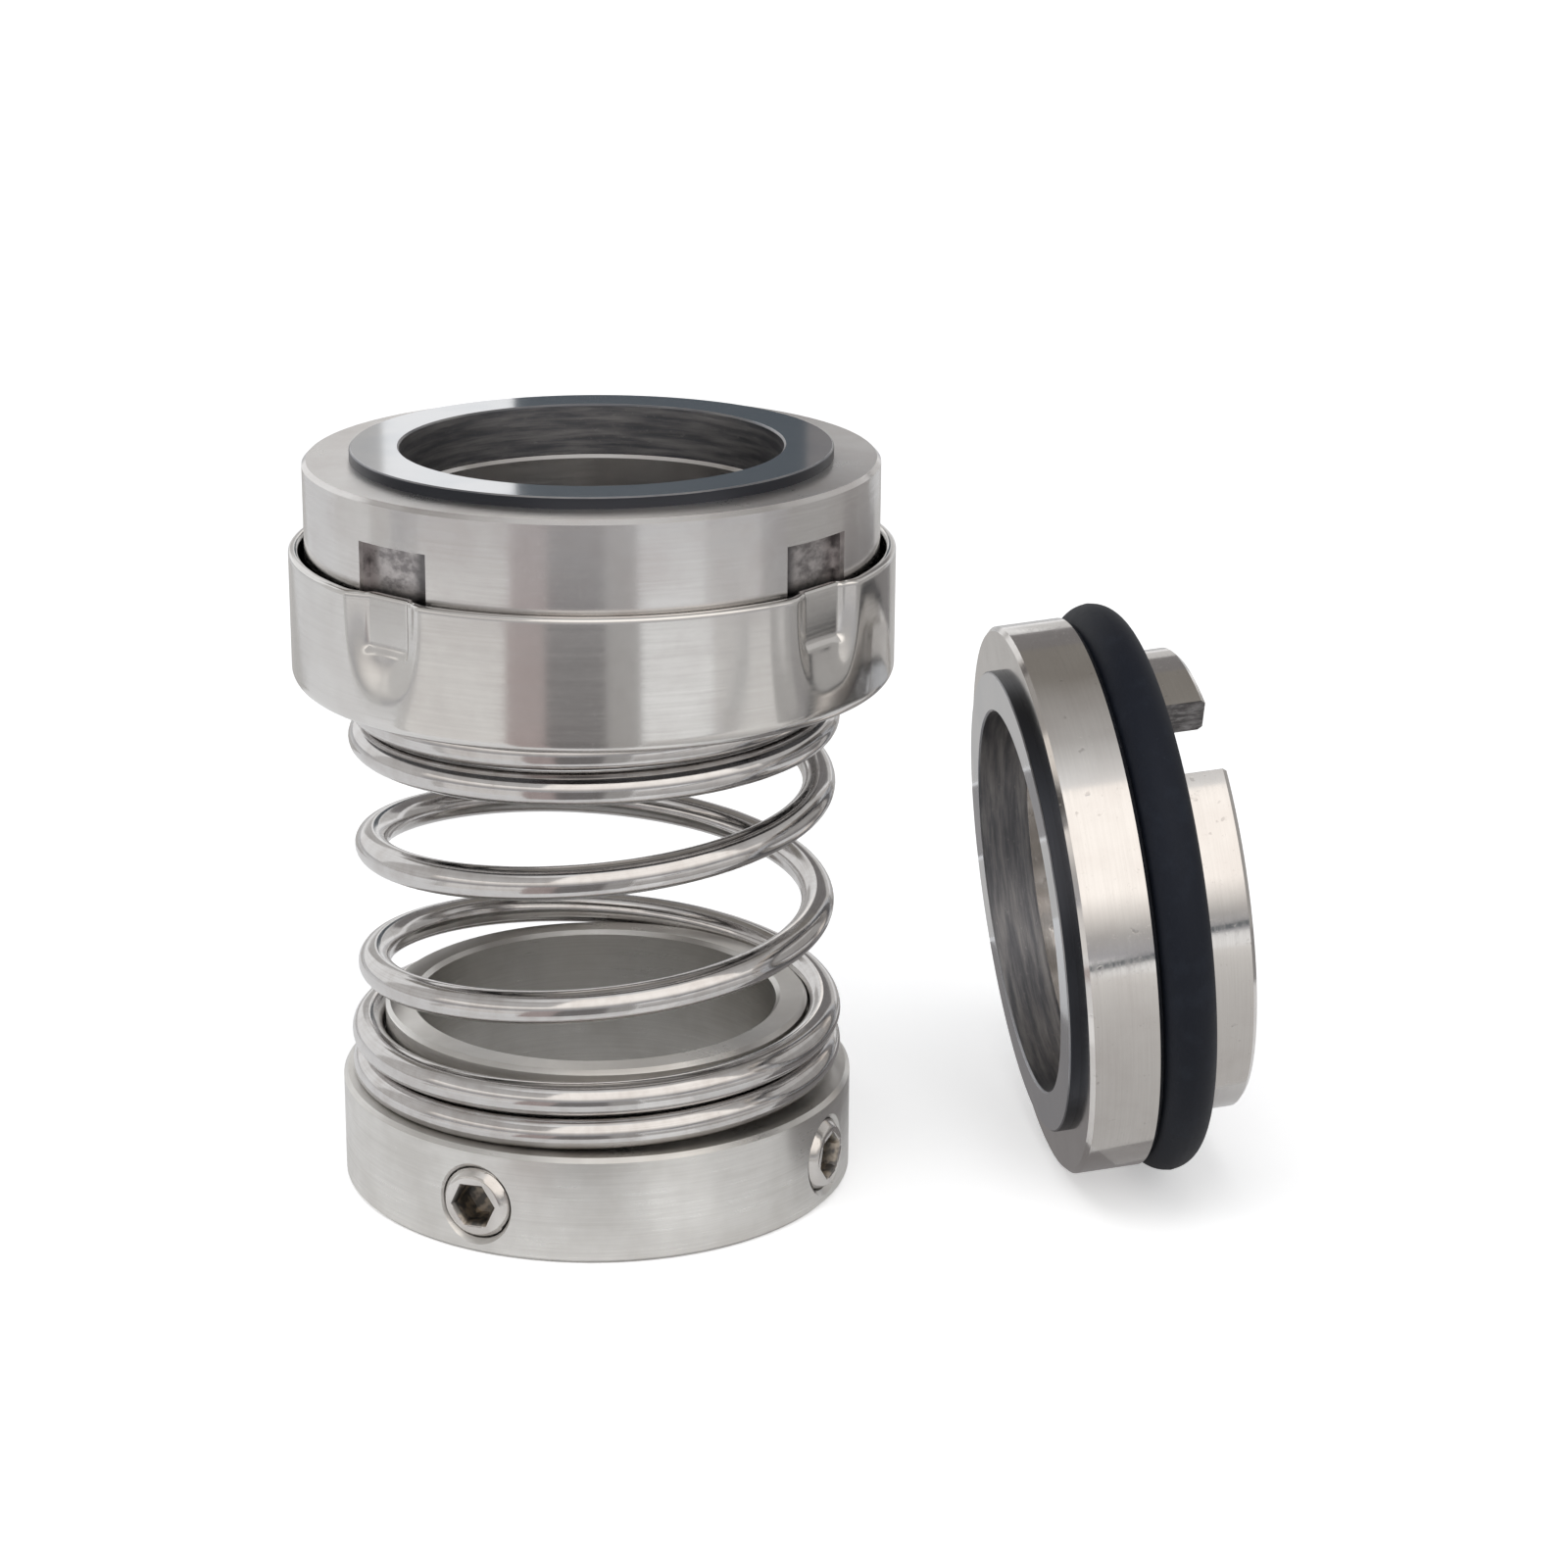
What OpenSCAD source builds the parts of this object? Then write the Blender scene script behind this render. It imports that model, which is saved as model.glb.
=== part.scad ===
// Single-spring mechanical shaft seal: a rotary head and the stationary seat it runs against.
// The head stands on its drive collar with the shaft axis on Z, and the seat leans beside it.
// Every radius is built outwards from the shaft, so each fit follows the shaft size.

/* [Shaft] */
// Diameter of the shaft that the seal is made for
shaft_d = 30; // [26:1:36]
// Radial running clearance of the collar on the shaft
shaft_fit = 0.02; // [0.01:0.01:0.05]

/* [Drive collar] */
// Height of the collar below the spring
collar_h = 9; // [8.5:0.5:12]
// Radial wall of the collar
collar_wall = 6.2; // [5.8:0.1:8]
// Radial wall of the hub that centres the spring
hub_wall = 2.58; // [2:0.02:3]
// Height of the hub above the collar shoulder
hub_h = 6; // [4:0.5:7]
// Edge break on the turned steel pieces
edge_break = 0.35; // [0.2:0.05:0.5]

/* [Set screws] */
// Thread diameter of the two set screws
screw_d = 6; // [4:0.5:6]
// Length of a set screw
screw_l = 5; // [4.5:0.5:7]
// How far a set screw stands out of the collar
screw_proud = 0.3; // [0.1:0.1:1.5]
// Height of the screw axes above the base
screw_rise = 4.25; // [4.1:0.05:4.6]
// Hexagon socket across flats
hex_af = 3; // [2:0.5:3]
// Depth of the hexagon socket
hex_depth = 2.4; // [2:0.2:2.8]
// Width of the chamfer round the socket's mouth
hex_break = 0.35; // [0.2:0.05:0.5]
// Mouth diameter of the countersink round a screw
countersink_d = 6.9; // [6.6:0.1:7.8]
// Direction of the first set screw
screw_angle = -26; // [-90:1:90]
// Angle between the two set screws
screw_spread = 90; // [60:5:120]

/* [Spring] */
// Wire diameter
wire_d = 2.7; // [2.2:0.1:2.9]
// Free length over the ground ends
spring_l = 34.1; // [30:0.1:44]
// Turns from tip to tip
spring_turns = 6; // [5.5:0.25:7]
// Turns at each end that lie closed
dead_turns = 1.86; // [1.5:0.02:2]
// Pitch of the closed turns, as a gap between neighbouring wires
closed_gap = 0.15; // [0.05:0.05:0.3]
// Radial gap between the bottom turns and the hub
spring_hub_gap = 0.1; // [0.05:0.05:0.3]
// How much the free turns draw in from the bottom turns, in radius
waist = 0.65; // [0:0.05:0.8]
// How much the top turns open out again, in radius
top_flare = 0.3; // [0:0.05:0.6]

/* [Drive shell] */
// Height of the pressed shell
shell_h = 10.7; // [10:0.1:12]
// Sheet thickness of the shell
shell_wall = 0.8; // [0.6:0.1:1]
// Radial gap between the ring carrier and the shell
shell_gap = 0.48; // [0.3:0.02:0.6]
// Outer bend radius at the bottom of the shell
shell_bend = 1.1; // [0.9:0.1:1.4]
// Width of the flat in a pressed drive dimple
dimple_w = 4; // [3.5:0.1:4.4]
// Height of the flat below the rim
dimple_h = 4.2; // [3.6:0.1:4.4]
// How deep the flat is pressed
dimple_depth = 1.1; // [0.9:0.1:1.2]
// Height over which the flat runs out into the dish round it
scoop_h = 1; // [0.6:0.1:1.6]
// Height of the shallow round dish of a dimple below the rim
dish_h = 7.2; // [6:0.1:8]
// How deep the dish is pressed at the rim
dish_depth = 0.4; // [0.3:0.05:0.6]
// Direction of the first dimple and drive pocket
drive_angle = -40; // [-90:1:90]

/* [Secondary seal] */
// Height of the thrust ring on the shell floor
thrust_h = 2; // [1.5:0.1:3]
// Radial gap between the thrust ring and the shell
thrust_gap = 0.3; // [0.1:0.05:0.5]
// Section of the shaft O-ring
shaft_cord = 3.1; // [2.6:0.1:3.4]
// How much smaller in radius the free O-ring is than the shaft
shaft_squeeze = 0.2; // [0.1:0.05:0.3]
// Clearance round the O-rings in their seats
cord_fit = 0.05; // [0.02:0.01:0.1]

/* [Ring carrier] */
// Height of the ring carrier
carrier_h = 14.7; // [13:0.1:18]
// Gap between the thrust ring and the carrier
carrier_lift = 0.3; // [0.2:0.05:0.5]
// Radial wall of the carrier round the face ring
carrier_wall = 3.77; // [3:0.05:5]
// Radial clearance of the carrier on the shaft
carrier_fit = 0.1; // [0.05:0.05:0.2]
// Width of a drive pocket
pocket_w = 7; // [6.6:0.1:8]
// Depth of a drive pocket
pocket_depth = 1.35; // [1.2:0.05:1.8]
// Solid height above a drive pocket
pocket_cover = 3.4; // [2.5:0.1:4]
// Solid height below a drive pocket
pocket_sill = 1.3; // [1:0.1:1.6]

/* [Seal faces] */
// Radial width of both carbide rings on the head side
face_wall = 3.97; // [3:0.05:5]
// Radial clearance of the rotary face ring on the shaft
face_clear = 0.35; // [0.2:0.05:0.6]
// Depth of the carbide rings in their steel seats
face_seat = 3.3; // [2.5:0.1:4]
// How far the carbide rings stand out of the steel
face_nose = 0.9; // [0.5:0.1:1.5]
// Edge break on the carbide rings
face_break = 0.15; // [0.1:0.05:0.2]

/* [Stationary seat] */
// Radial clearance of the stationary carbide ring on the shaft
seat_face_clear = 1; // [0.9:0.1:1.4]
// Radial clearance of the steel hub on the shaft
seat_clear = 0.7; // [0.5:0.1:0.8]
// Radial wall of the steel hub behind the O-ring
seat_hub_wall = 3.6; // [3:0.1:4]
// Radial height of the flange above the hub
seat_flange = 3.65; // [3.2:0.05:4.2]
// Thickness of the flange
seat_flange_h = 5.9; // [5:0.1:7]
// Section of the seat O-ring
seat_cord = 4.5; // [4.2:0.1:5]
// Length of the hub behind the flange
seat_hub_h = 8.45; // [7.5:0.05:11]
// Width of the anti-rotation slots
slot_w = 7; // [6.4:0.1:8]
// Depth of the anti-rotation slots from the back
slot_depth = 4.8; // [4.4:0.1:5.6]
// Direction of the visible slot round the seat axis
slot_angle = -146; // [-180:1:180]
// Distance of the seat from the shaft axis, along X
seat_x = 36; // [34:0.5:45]
// Distance of the seat from the shaft axis, along Y
seat_y = 1.1; // [-5:0.1:5]
// Turn of the seat about the vertical
seat_turn = 6.4; // [-10:0.2:15]

/* [Hidden] */

// Smoothness of turned surfaces, and of the round ends of the fine forms
turned_fn = 96;
fine_fn = 48;
// Margin by which a cutter passes the surface that it opens
past = 1;
// Copies of a drive dimple and of a drive pocket round the axis
drives = 4;
// Radial clearance of a set screw in its hole
screw_fit = 0.05;
// Key position of each set screw's socket
hex_turns = [12, 5];
// Sides of the wire section, and wire rings in one turn
wire_sides = 12;
turn_rings = 32;
// Turns over which the pitch opens from closed to free
ramp_turns = 0.5;
// Facets along the curved foot of a dimple, and smoothness of the ball that presses its dish
scoop_steps = 4;
dish_fn = 180;
// Run-out of a dimple's sides for each unit of its depth, and growth of its inner side
side_slope = 0.35;
skin_share = 0.55;

// Radii of the head, from the shaft outwards
shaft_r = shaft_d / 2;
bore_r = shaft_r + shaft_fit;
hub_r = bore_r + hub_wall;
collar_r = bore_r + collar_wall;
screw_r = screw_d / 2;
wire_r = wire_d / 2;
bottom_r = hub_r + spring_hub_gap + wire_r;
free_r = bottom_r - waist;
top_r = free_r + top_flare;
face_bore_r = shaft_r + face_clear;
face_r = face_bore_r + face_wall;
carrier_bore_r = shaft_r + carrier_fit;
carrier_r = face_r + carrier_wall;
shell_in_r = carrier_r + shell_gap;
shell_r = shell_in_r + shell_wall;

// Heights of the head, from the base upwards
hub_top = collar_h + hub_h;
shell_z = collar_h + spring_l;
rim_z = shell_z + shell_h;
thrust_z = shell_z + shell_wall;
cord_z = thrust_z + thrust_h;
carrier_z = cord_z + carrier_lift;
carrier_top = carrier_z + carrier_h;
insert_z = carrier_top - face_seat;
face_z = carrier_top + face_nose;
groove_top = cord_z + shaft_cord + cord_fit;
cord_in_r = shaft_r - shaft_squeeze;
groove_r = cord_in_r + shaft_cord + cord_fit;
pocket_low = carrier_z + pocket_sill;
pocket_high = carrier_top - pocket_cover;

// Pitches of the spring, from its length and its turns
closed_pitch = wire_d + closed_gap;
free_rise = (spring_l - spring_turns * closed_pitch) / (spring_turns - 2 * dead_turns);
tip_angle = 90;

// Sizes of the seat, in its own frame: its axis is Z, and the flange face is at zero
seat_bore_r = shaft_r + seat_clear;
seat_hub_r = seat_bore_r + seat_hub_wall;
seat_r = seat_hub_r + seat_flange;
seat_face_bore_r = shaft_r + seat_face_clear;
seat_back = seat_flange_h + seat_hub_h;
seat_cord_r = seat_hub_r + seat_cord / 2;
seat_cord_z = seat_flange_h + seat_cord / 2;
// The seat rests on the edge of its flange and on its O-ring, which sets how far it leans
rest_reach = norm([seat_r - seat_cord_r, seat_cord_z - edge_break]);
rest_turn = atan2(seat_cord_z - edge_break, seat_r - seat_cord_r);
seat_lean = rest_turn - acos((seat_cord / 2) / rest_reach);
seat_z = seat_r * cos(seat_lean) - edge_break * sin(seat_lean);

// A solid of revolution about Z from its half section
module turned(section) {
    rotate_extrude($fn = turned_fn) polygon(section);
}

// Repeats a form round the axis, starting at an angle
module round_axis(start, count) {
    for (i = [0 : count - 1]) rotate([0, 0, start + i * 360 / count]) children();
}

// Moves a form from a screw's own frame, whose Z points out of the collar, to that screw's place
module at_screw(index) {
    rotate([0, 0, screw_angle - index * screw_spread]) translate([0, 0, screw_rise]) rotate([0, 90, 0]) children();
}

// Moves a form from the seat's own frame to where the seat leans
module at_seat() {
    translate([seat_x, seat_y, seat_z]) rotate([0, 90 - seat_lean, seat_turn]) children();
}

// Points on an arc in the section plane
function arc(centre, r, from, to, steps) =
    [for (i = [0 : steps]) let (a = from + (to - from) * i / steps) centre + r * [cos(a), sin(a)]];

// Collar that clamps on the shaft, with the hub that the spring sits round
module drive_collar() {
    hole_r = screw_r + screw_fit;
    sink_r = countersink_d / 2;
    color("silver") difference() {
        turned([
            [bore_r, 0],
            [collar_r - edge_break, 0], [collar_r, edge_break],
            [collar_r, collar_h - edge_break], [collar_r - edge_break, collar_h],
            [hub_r, collar_h],
            [hub_r, hub_top - edge_break], [hub_r - edge_break, hub_top],
            [bore_r + edge_break, hub_top], [bore_r, hub_top - edge_break]
        ]);
        for (index = [0 : len(hex_turns) - 1]) at_screw(index) {
            translate([0, 0, bore_r - past]) cylinder(r = hole_r, h = collar_wall + 2 * past, $fn = fine_fn);
            translate([0, 0, collar_r - (sink_r - hole_r)])
                cylinder(r1 = hole_r, r2 = sink_r + past, h = sink_r - hole_r + past, $fn = fine_fn);
        }
    }
}

// Socket set screw with a cup point, its outer end standing proud of the collar
module set_screw(index) {
    outer = collar_r + screw_proud;
    inner = outer - screw_l;
    end_break = screw_d / 10;
    cup = screw_d / 5;
    color("gainsboro") at_screw(index) difference() {
        turned([
            [0, inner + cup / 2],
            [cup, inner], [screw_r - end_break, inner], [screw_r, inner + end_break],
            [screw_r, outer - end_break], [screw_r - end_break, outer],
            [0, outer]
        ]);
        rotate([0, 0, hex_turns[index]]) translate([0, 0, outer - hex_depth])
            cylinder(r = hex_af / sqrt(3), h = hex_depth + past, $fn = 6);
        translate([0, 0, outer - hex_depth - hex_af / 6])
            cylinder(r1 = 0, r2 = hex_af / 2, h = hex_af / 6 + past / 10, $fn = fine_fn);
        translate([0, 0, outer - hex_break])
            cylinder(r1 = hex_af / 2, r2 = hex_af / 2 + hex_break + past, h = hex_break + past, $fn = fine_fn);
    }
}

// Share of a ramp that is past at a number of turns from the nearer tip, 0 to 1
function ramp(turns, centre) =
    min(1, max(0, (turns - centre) / ramp_turns + 0.5));
// The ramp added up over the turns, which gives the extra rise of the open pitch
function ramp_sum(turns, centre) =
    let (s = ramp(turns, centre)) s < 1 ? ramp_turns * s * s / 2 : turns - centre;
// Height of the wire's centre line at a number of turns from the bottom tip
function wire_z(turns) =
    turns <= spring_turns / 2
        ? collar_h + closed_pitch * turns + free_rise * ramp_sum(turns, dead_turns)
        : 2 * collar_h + spring_l - wire_z(spring_turns - turns);
// Radius of the wire's centre line, which draws in from each end towards the free turns
function coil_r(turns) =
    let (low = 1 - ramp(turns, dead_turns + ramp_turns / 4))
    let (high = 1 - ramp(spring_turns - turns, dead_turns + ramp_turns / 4))
    free_r + (bottom_r - free_r) * low + (top_r - free_r) * high;
// One ring of points round the wire, flattened where the end turns are ground
function wire_ring(turns) =
    let (a = tip_angle + 360 * turns)
    let (r = coil_r(turns))
    [for (k = [0 : wire_sides - 1])
        let (b = 360 * k / wire_sides)
        let (out = r + wire_r * cos(b))
        let (z = wire_z(turns) + wire_r * sin(b))
        [out * cos(a), out * sin(a), min(shell_z, max(collar_h, z))]];

// Right-hand compression spring with closed and ground ends
module spring() {
    rings = round(spring_turns * turn_rings);
    points = [for (i = [0 : rings]) each wire_ring(spring_turns * i / rings)];
    last = rings * wire_sides;
    walls = [for (i = [0 : rings - 1]) for (k = [0 : wire_sides - 1])
        let (a = i * wire_sides + k)
        let (b = i * wire_sides + (k + 1) % wire_sides)
        each [[a, b, b + wire_sides], [a, b + wire_sides, a + wire_sides]]];
    // Each cap is a fan from the point that faces away from its ground flat
    crown = wire_sides / 4;
    foot = last + wire_sides * 3 / 4;
    first_cap = [for (k = [1 : wire_sides - 2])
        [crown, (crown + k + 1) % wire_sides, (crown + k) % wire_sides]];
    last_cap = [for (k = [1 : wire_sides - 2])
        [foot, last + (foot + k) % wire_sides, last + (foot + k + 1) % wire_sides]];
    color("lightgray") polyhedron(points = points, faces = concat(first_cap, walls, last_cap));
}

// Block that presses the flat of a dimple, with sloping sides and a curved foot, grown by a skin
module flat_form(skin) {
    flat_r = shell_r - dimple_depth - skin;
    outer_r = shell_r + past;
    reach = outer_r - flat_r;
    half_w = dimple_w / 2 + skin * skin_share;
    low = rim_z - dimple_h - skin * skin_share;
    foot = [for (i = [0 : scoop_steps])
        let (s = i / scoop_steps)
        [flat_r + (dimple_depth + skin) * (1 - cos(90 * s)), low - scoop_h * sin(90 * s)]];
    intersection() {
        translate([0, 0, shell_z]) linear_extrude(shell_h + past) polygon([
            [flat_r, -half_w], [outer_r, -half_w - reach * side_slope],
            [outer_r, half_w + reach * side_slope], [flat_r, half_w]
        ]);
        rotate([90, 0, 0]) linear_extrude(4 * half_w, center = true)
            polygon(concat(foot, [[outer_r, low - scoop_h], [outer_r, rim_z + past], [flat_r, rim_z + past]]));
    }
}

// Large ball that presses the shallow dish, deepest at the rim, grown by the same skin
module dish_form(skin) {
    ball_r = dish_h * dish_h / (2 * dish_depth);
    translate([shell_r - dish_depth + ball_r, 0, rim_z]) sphere(r = ball_r + skin, $fn = dish_fn);
}

// Thin pressed cup that carries the spring load and drives the carrier with its dimples
module drive_shell() {
    bend_in = shell_bend - shell_wall;
    bend_c = [shell_r - shell_bend, shell_z + shell_bend];
    lip = shell_wall / 4;
    color("silver") difference() {
        union() {
            turned(concat(
                [[carrier_bore_r + face_clear, shell_z]],
                arc(bend_c, shell_bend, -90, 0, 6),
                [[shell_r, rim_z - lip], [shell_r - lip, rim_z], [shell_in_r + lip, rim_z], [shell_in_r, rim_z - lip]],
                arc(bend_c, bend_in, 0, -90, 4),
                [[carrier_bore_r + face_clear, thrust_z]]
            ));
            intersection() {
                round_axis(drive_angle, drives) {
                    flat_form(shell_wall);
                    dish_form(shell_wall);
                }
                translate([0, 0, thrust_z]) cylinder(r = shell_r - shell_wall / 2, h = rim_z - thrust_z, $fn = turned_fn);
            }
        }
        round_axis(drive_angle, drives) {
            flat_form(0);
            dish_form(0);
        }
    }
}

// Flat ring on the shell floor that pushes the shaft O-ring
module thrust_ring() {
    out_r = shell_in_r - thrust_gap;
    in_r = carrier_bore_r + face_clear;
    color("silver") turned([
        [in_r, thrust_z], [out_r - edge_break, thrust_z], [out_r, thrust_z + edge_break],
        [out_r, cord_z - edge_break], [out_r - edge_break, cord_z], [in_r, cord_z]
    ]);
}

// O-ring that seals the floating head on the shaft
module shaft_o_ring() {
    color("#26282c") rotate_extrude($fn = turned_fn)
        translate([cord_in_r + shaft_cord / 2, cord_z + shaft_cord / 2]) circle(d = shaft_cord, $fn = fine_fn);
}

// Steel ring that holds the rotary face ring and takes the drive in four pockets
module ring_carrier() {
    color("silver") difference() {
        turned([
            [groove_r, carrier_z],
            [carrier_r - edge_break, carrier_z], [carrier_r, carrier_z + edge_break],
            [carrier_r, carrier_top - edge_break], [carrier_r - edge_break, carrier_top],
            [face_r, carrier_top], [face_r, insert_z],
            [carrier_bore_r + edge_break, insert_z], [carrier_bore_r, insert_z - edge_break],
            [carrier_bore_r, groove_top], [groove_r, groove_top]
        ]);
        round_axis(drive_angle, drives)
            translate([carrier_r - pocket_depth, -pocket_w / 2, pocket_low])
                cube([pocket_depth + past, pocket_w, pocket_high - pocket_low]);
    }
}

// Half section of a carbide ring between two radii and two heights, with broken nose edges
function carbide(in_r, out_r, back, nose) = [
    [in_r, back], [out_r, back],
    [out_r, nose - face_break], [out_r - face_break, nose],
    [in_r + face_break, nose], [in_r, nose - face_break]
];

// Lapped carbide ring of the head
module rotary_face_ring() {
    color("dimgray") turned(carbide(face_bore_r, face_r, insert_z, face_z));
}

// Steel body of the stationary seat: a flange for the face ring and a slotted hub
module seat_ring() {
    color("silver") at_seat() difference() {
        turned([
            [seat_bore_r, face_seat], [face_r, face_seat], [face_r, 0],
            [seat_r - edge_break, 0], [seat_r, edge_break],
            [seat_r, seat_flange_h - edge_break], [seat_r - edge_break, seat_flange_h],
            [seat_hub_r, seat_flange_h],
            [seat_hub_r, seat_back - edge_break], [seat_hub_r - edge_break, seat_back],
            [seat_bore_r + edge_break, seat_back], [seat_bore_r, seat_back - edge_break]
        ]);
        rotate([0, 0, slot_angle]) translate([-seat_r, -slot_w / 2, seat_back - slot_depth])
            cube([2 * seat_r, slot_w, slot_depth + past]);
    }
}

// Lapped carbide ring of the seat
module seat_face_ring() {
    color("dimgray") at_seat() translate([0, 0, face_seat]) mirror([0, 0, 1])
        turned(carbide(seat_face_bore_r, face_r, 0, face_seat + face_nose));
}

// O-ring that seals and cushions the seat in its housing
module seat_o_ring() {
    color("#23262d") at_seat() rotate_extrude($fn = turned_fn)
        translate([seat_cord_r, seat_cord_z]) circle(d = seat_cord, $fn = fine_fn);
}

drive_collar();
set_screw(0);  // set_screw_1
set_screw(1);  // set_screw_2
spring();
drive_shell();
thrust_ring();
shaft_o_ring();
ring_carrier();
rotary_face_ring();
seat_ring();
seat_face_ring();
seat_o_ring();
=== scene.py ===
"""Looks of a single-spring mechanical shaft seal: the rotary head and the stationary seat beside it.

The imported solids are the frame. Turned rings keep their solids and get a finish. The spring, the pressed shell, the
set screws and the seat's O-ring are new surfaces, worked out with numpy in the same place.
"""
import logging
import math
from dataclasses import dataclass, field, replace
from enum import Enum
from typing import Any

import bmesh
import bpy
import numpy as np
from mathutils import Euler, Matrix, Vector


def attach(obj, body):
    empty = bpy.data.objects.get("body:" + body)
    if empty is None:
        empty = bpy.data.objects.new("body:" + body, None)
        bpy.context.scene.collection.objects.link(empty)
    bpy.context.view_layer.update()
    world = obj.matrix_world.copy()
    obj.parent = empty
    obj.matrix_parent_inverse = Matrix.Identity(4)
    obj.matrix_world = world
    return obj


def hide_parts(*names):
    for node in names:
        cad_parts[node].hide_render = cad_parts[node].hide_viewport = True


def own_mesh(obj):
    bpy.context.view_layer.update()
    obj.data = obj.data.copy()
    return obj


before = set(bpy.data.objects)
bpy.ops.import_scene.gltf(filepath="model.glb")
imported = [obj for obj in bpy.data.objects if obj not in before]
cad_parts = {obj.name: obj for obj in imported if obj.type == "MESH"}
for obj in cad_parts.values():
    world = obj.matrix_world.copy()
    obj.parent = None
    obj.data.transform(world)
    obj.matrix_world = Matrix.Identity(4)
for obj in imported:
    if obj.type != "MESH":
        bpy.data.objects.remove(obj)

log = logging.getLogger("seal")
MM = 0.001
TURN = 2 * math.pi
SEAM = 0.01  # millimetres over which one finish gives way to the next
Tone = tuple[float, float, float]
Point = tuple[float, float, float]
Span = tuple[float, float]


# Meshes

def smoothstep(x: np.ndarray, low: float, high: float) -> np.ndarray:
    """Rises from 0 at low to 1 at high, level at both ends.

    Args:
        x: Values to map.
        low: Value at which the rise starts. It may be above high, and then the step falls.
        high: Value at which the rise ends.

    Returns:
        3 t^2 - 2 t^3 of the share t of the way from low to high, kept between 0 and 1.
    """
    t = np.clip((x - low) / (high - low), 0.0, 1.0)
    return t * t * (3.0 - 2.0 * t)


def round_z(radii: "np.ndarray | float", turn: np.ndarray, heights: "np.ndarray | float") -> np.ndarray:
    """Places points round the Z axis.

    Args:
        radii: Distances from the axis.
        turn: Angles round it, from X towards Y.
        heights: Heights along it.

    Returns:
        Radius times cosine, radius times sine, and height, in the last side of the array.
    """
    return np.stack(np.broadcast_arrays(radii * np.cos(turn), radii * np.sin(turn), heights), axis=-1)


def in_scene(name: str, data: bpy.types.ID) -> bpy.types.Object:
    """Puts a mesh, a lamp or a camera into the scene.

    Args:
        name: Name of the object.
        data: What the object holds.

    Returns:
        The new object, at the origin.
    """
    made = bpy.data.objects.new(name, data)
    bpy.context.scene.collection.objects.link(made)
    return made


def surface(
        name: str, points: np.ndarray, around: bool = True, closed: bool = True,
        crease: float = 35.0) -> bpy.types.Object:
    """Makes a mesh object from a grid of points in millimetres.

    Args:
        name: Name of the piece.
        points: Array of rows by columns by 3. Neighbours in the array are neighbours on the surface.
        around: Whether the last row joins the first.
        closed: Whether the last column joins the first.
        crease: Angle in degrees over which an edge stays sharp.

    Returns:
        The object, at the origin, with its doubles merged and its faces pointing outwards.
    """
    rows, cols = points.shape[:2]
    index = np.arange(rows * cols).reshape(rows, cols)
    down = np.roll(index, -1, axis=0)
    grid = [index, down, np.roll(down, -1, axis=1), np.roll(index, -1, axis=1)]
    span = (slice(0, rows if around else rows - 1), slice(0, cols if closed else cols - 1))
    quads = np.stack([corner[span] for corner in grid], axis=-1).reshape(-1, 4)
    mesh = bpy.data.meshes.new(name)
    mesh.vertices.add(rows * cols)
    mesh.vertices.foreach_set("co", (points.reshape(-1) * MM).astype(np.float32))
    mesh.loops.add(quads.size)
    mesh.loops.foreach_set("vertex_index", quads.reshape(-1).astype(np.int32))
    mesh.polygons.add(len(quads))
    mesh.polygons.foreach_set("loop_start", np.arange(0, quads.size, 4, dtype=np.int32))
    mesh.update(calc_edges=True)
    return finished(name, mesh, crease)


def finished(name: str, mesh: bpy.types.Mesh, crease: float) -> bpy.types.Object:
    """Merges a mesh's doubles, turns its faces outwards, smooths it and puts it into the scene.

    Args:
        name: Name of the piece.
        mesh: The mesh, in metres.
        crease: Angle in degrees over which an edge stays sharp.

    Returns:
        The new object.
    """
    work = bmesh.new()
    work.from_mesh(mesh)
    bmesh.ops.remove_doubles(work, verts=work.verts, dist=1e-7)
    bmesh.ops.dissolve_degenerate(work, edges=work.edges, dist=1e-8)
    bmesh.ops.recalc_face_normals(work, faces=work.faces)
    work.to_mesh(mesh)
    work.free()
    mesh.polygons.foreach_set("use_smooth", np.ones(len(mesh.polygons), dtype=bool))
    mesh.set_sharp_from_angle(angle=math.radians(crease))
    return in_scene(name, mesh)


def places(mesh: bpy.types.Mesh) -> np.ndarray:
    """Reads where a mesh's vertices lie.

    Args:
        mesh: The mesh, in metres.

    Returns:
        One row of x, y and z in millimetres for each vertex.
    """
    place = np.empty(len(mesh.vertices) * 3, dtype=np.float32)
    mesh.vertices.foreach_get("co", place)
    return place.reshape(-1, 3) / MM


def map_uv(mesh: bpy.types.Mesh, name: str, u: np.ndarray, v: np.ndarray) -> None:
    """Gives a mesh a UV map from two numbers at each vertex.

    Args:
        mesh: The mesh.
        name: Name of the map.
        u: The first number of each vertex.
        v: The second number of each vertex.
    """
    corner = np.empty(len(mesh.loops), dtype=np.int32)
    mesh.loops.foreach_get("vertex_index", corner)
    pairs = np.stack([u, v], axis=-1).astype(np.float32)
    mesh.uv_layers.new(name=name).data.foreach_set("uv", pairs[corner].reshape(-1))


# Shader maths

def put(place: bpy.types.NodeSocket, value: Any) -> None:
    """Gives a socket its input.

    Args:
        place: The socket.
        value: A Value to link to it, or its own number or colour.
    """
    if isinstance(value, Value):
        value.tree.links.new(value.socket, place)
    else:
        place.default_value = value


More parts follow.
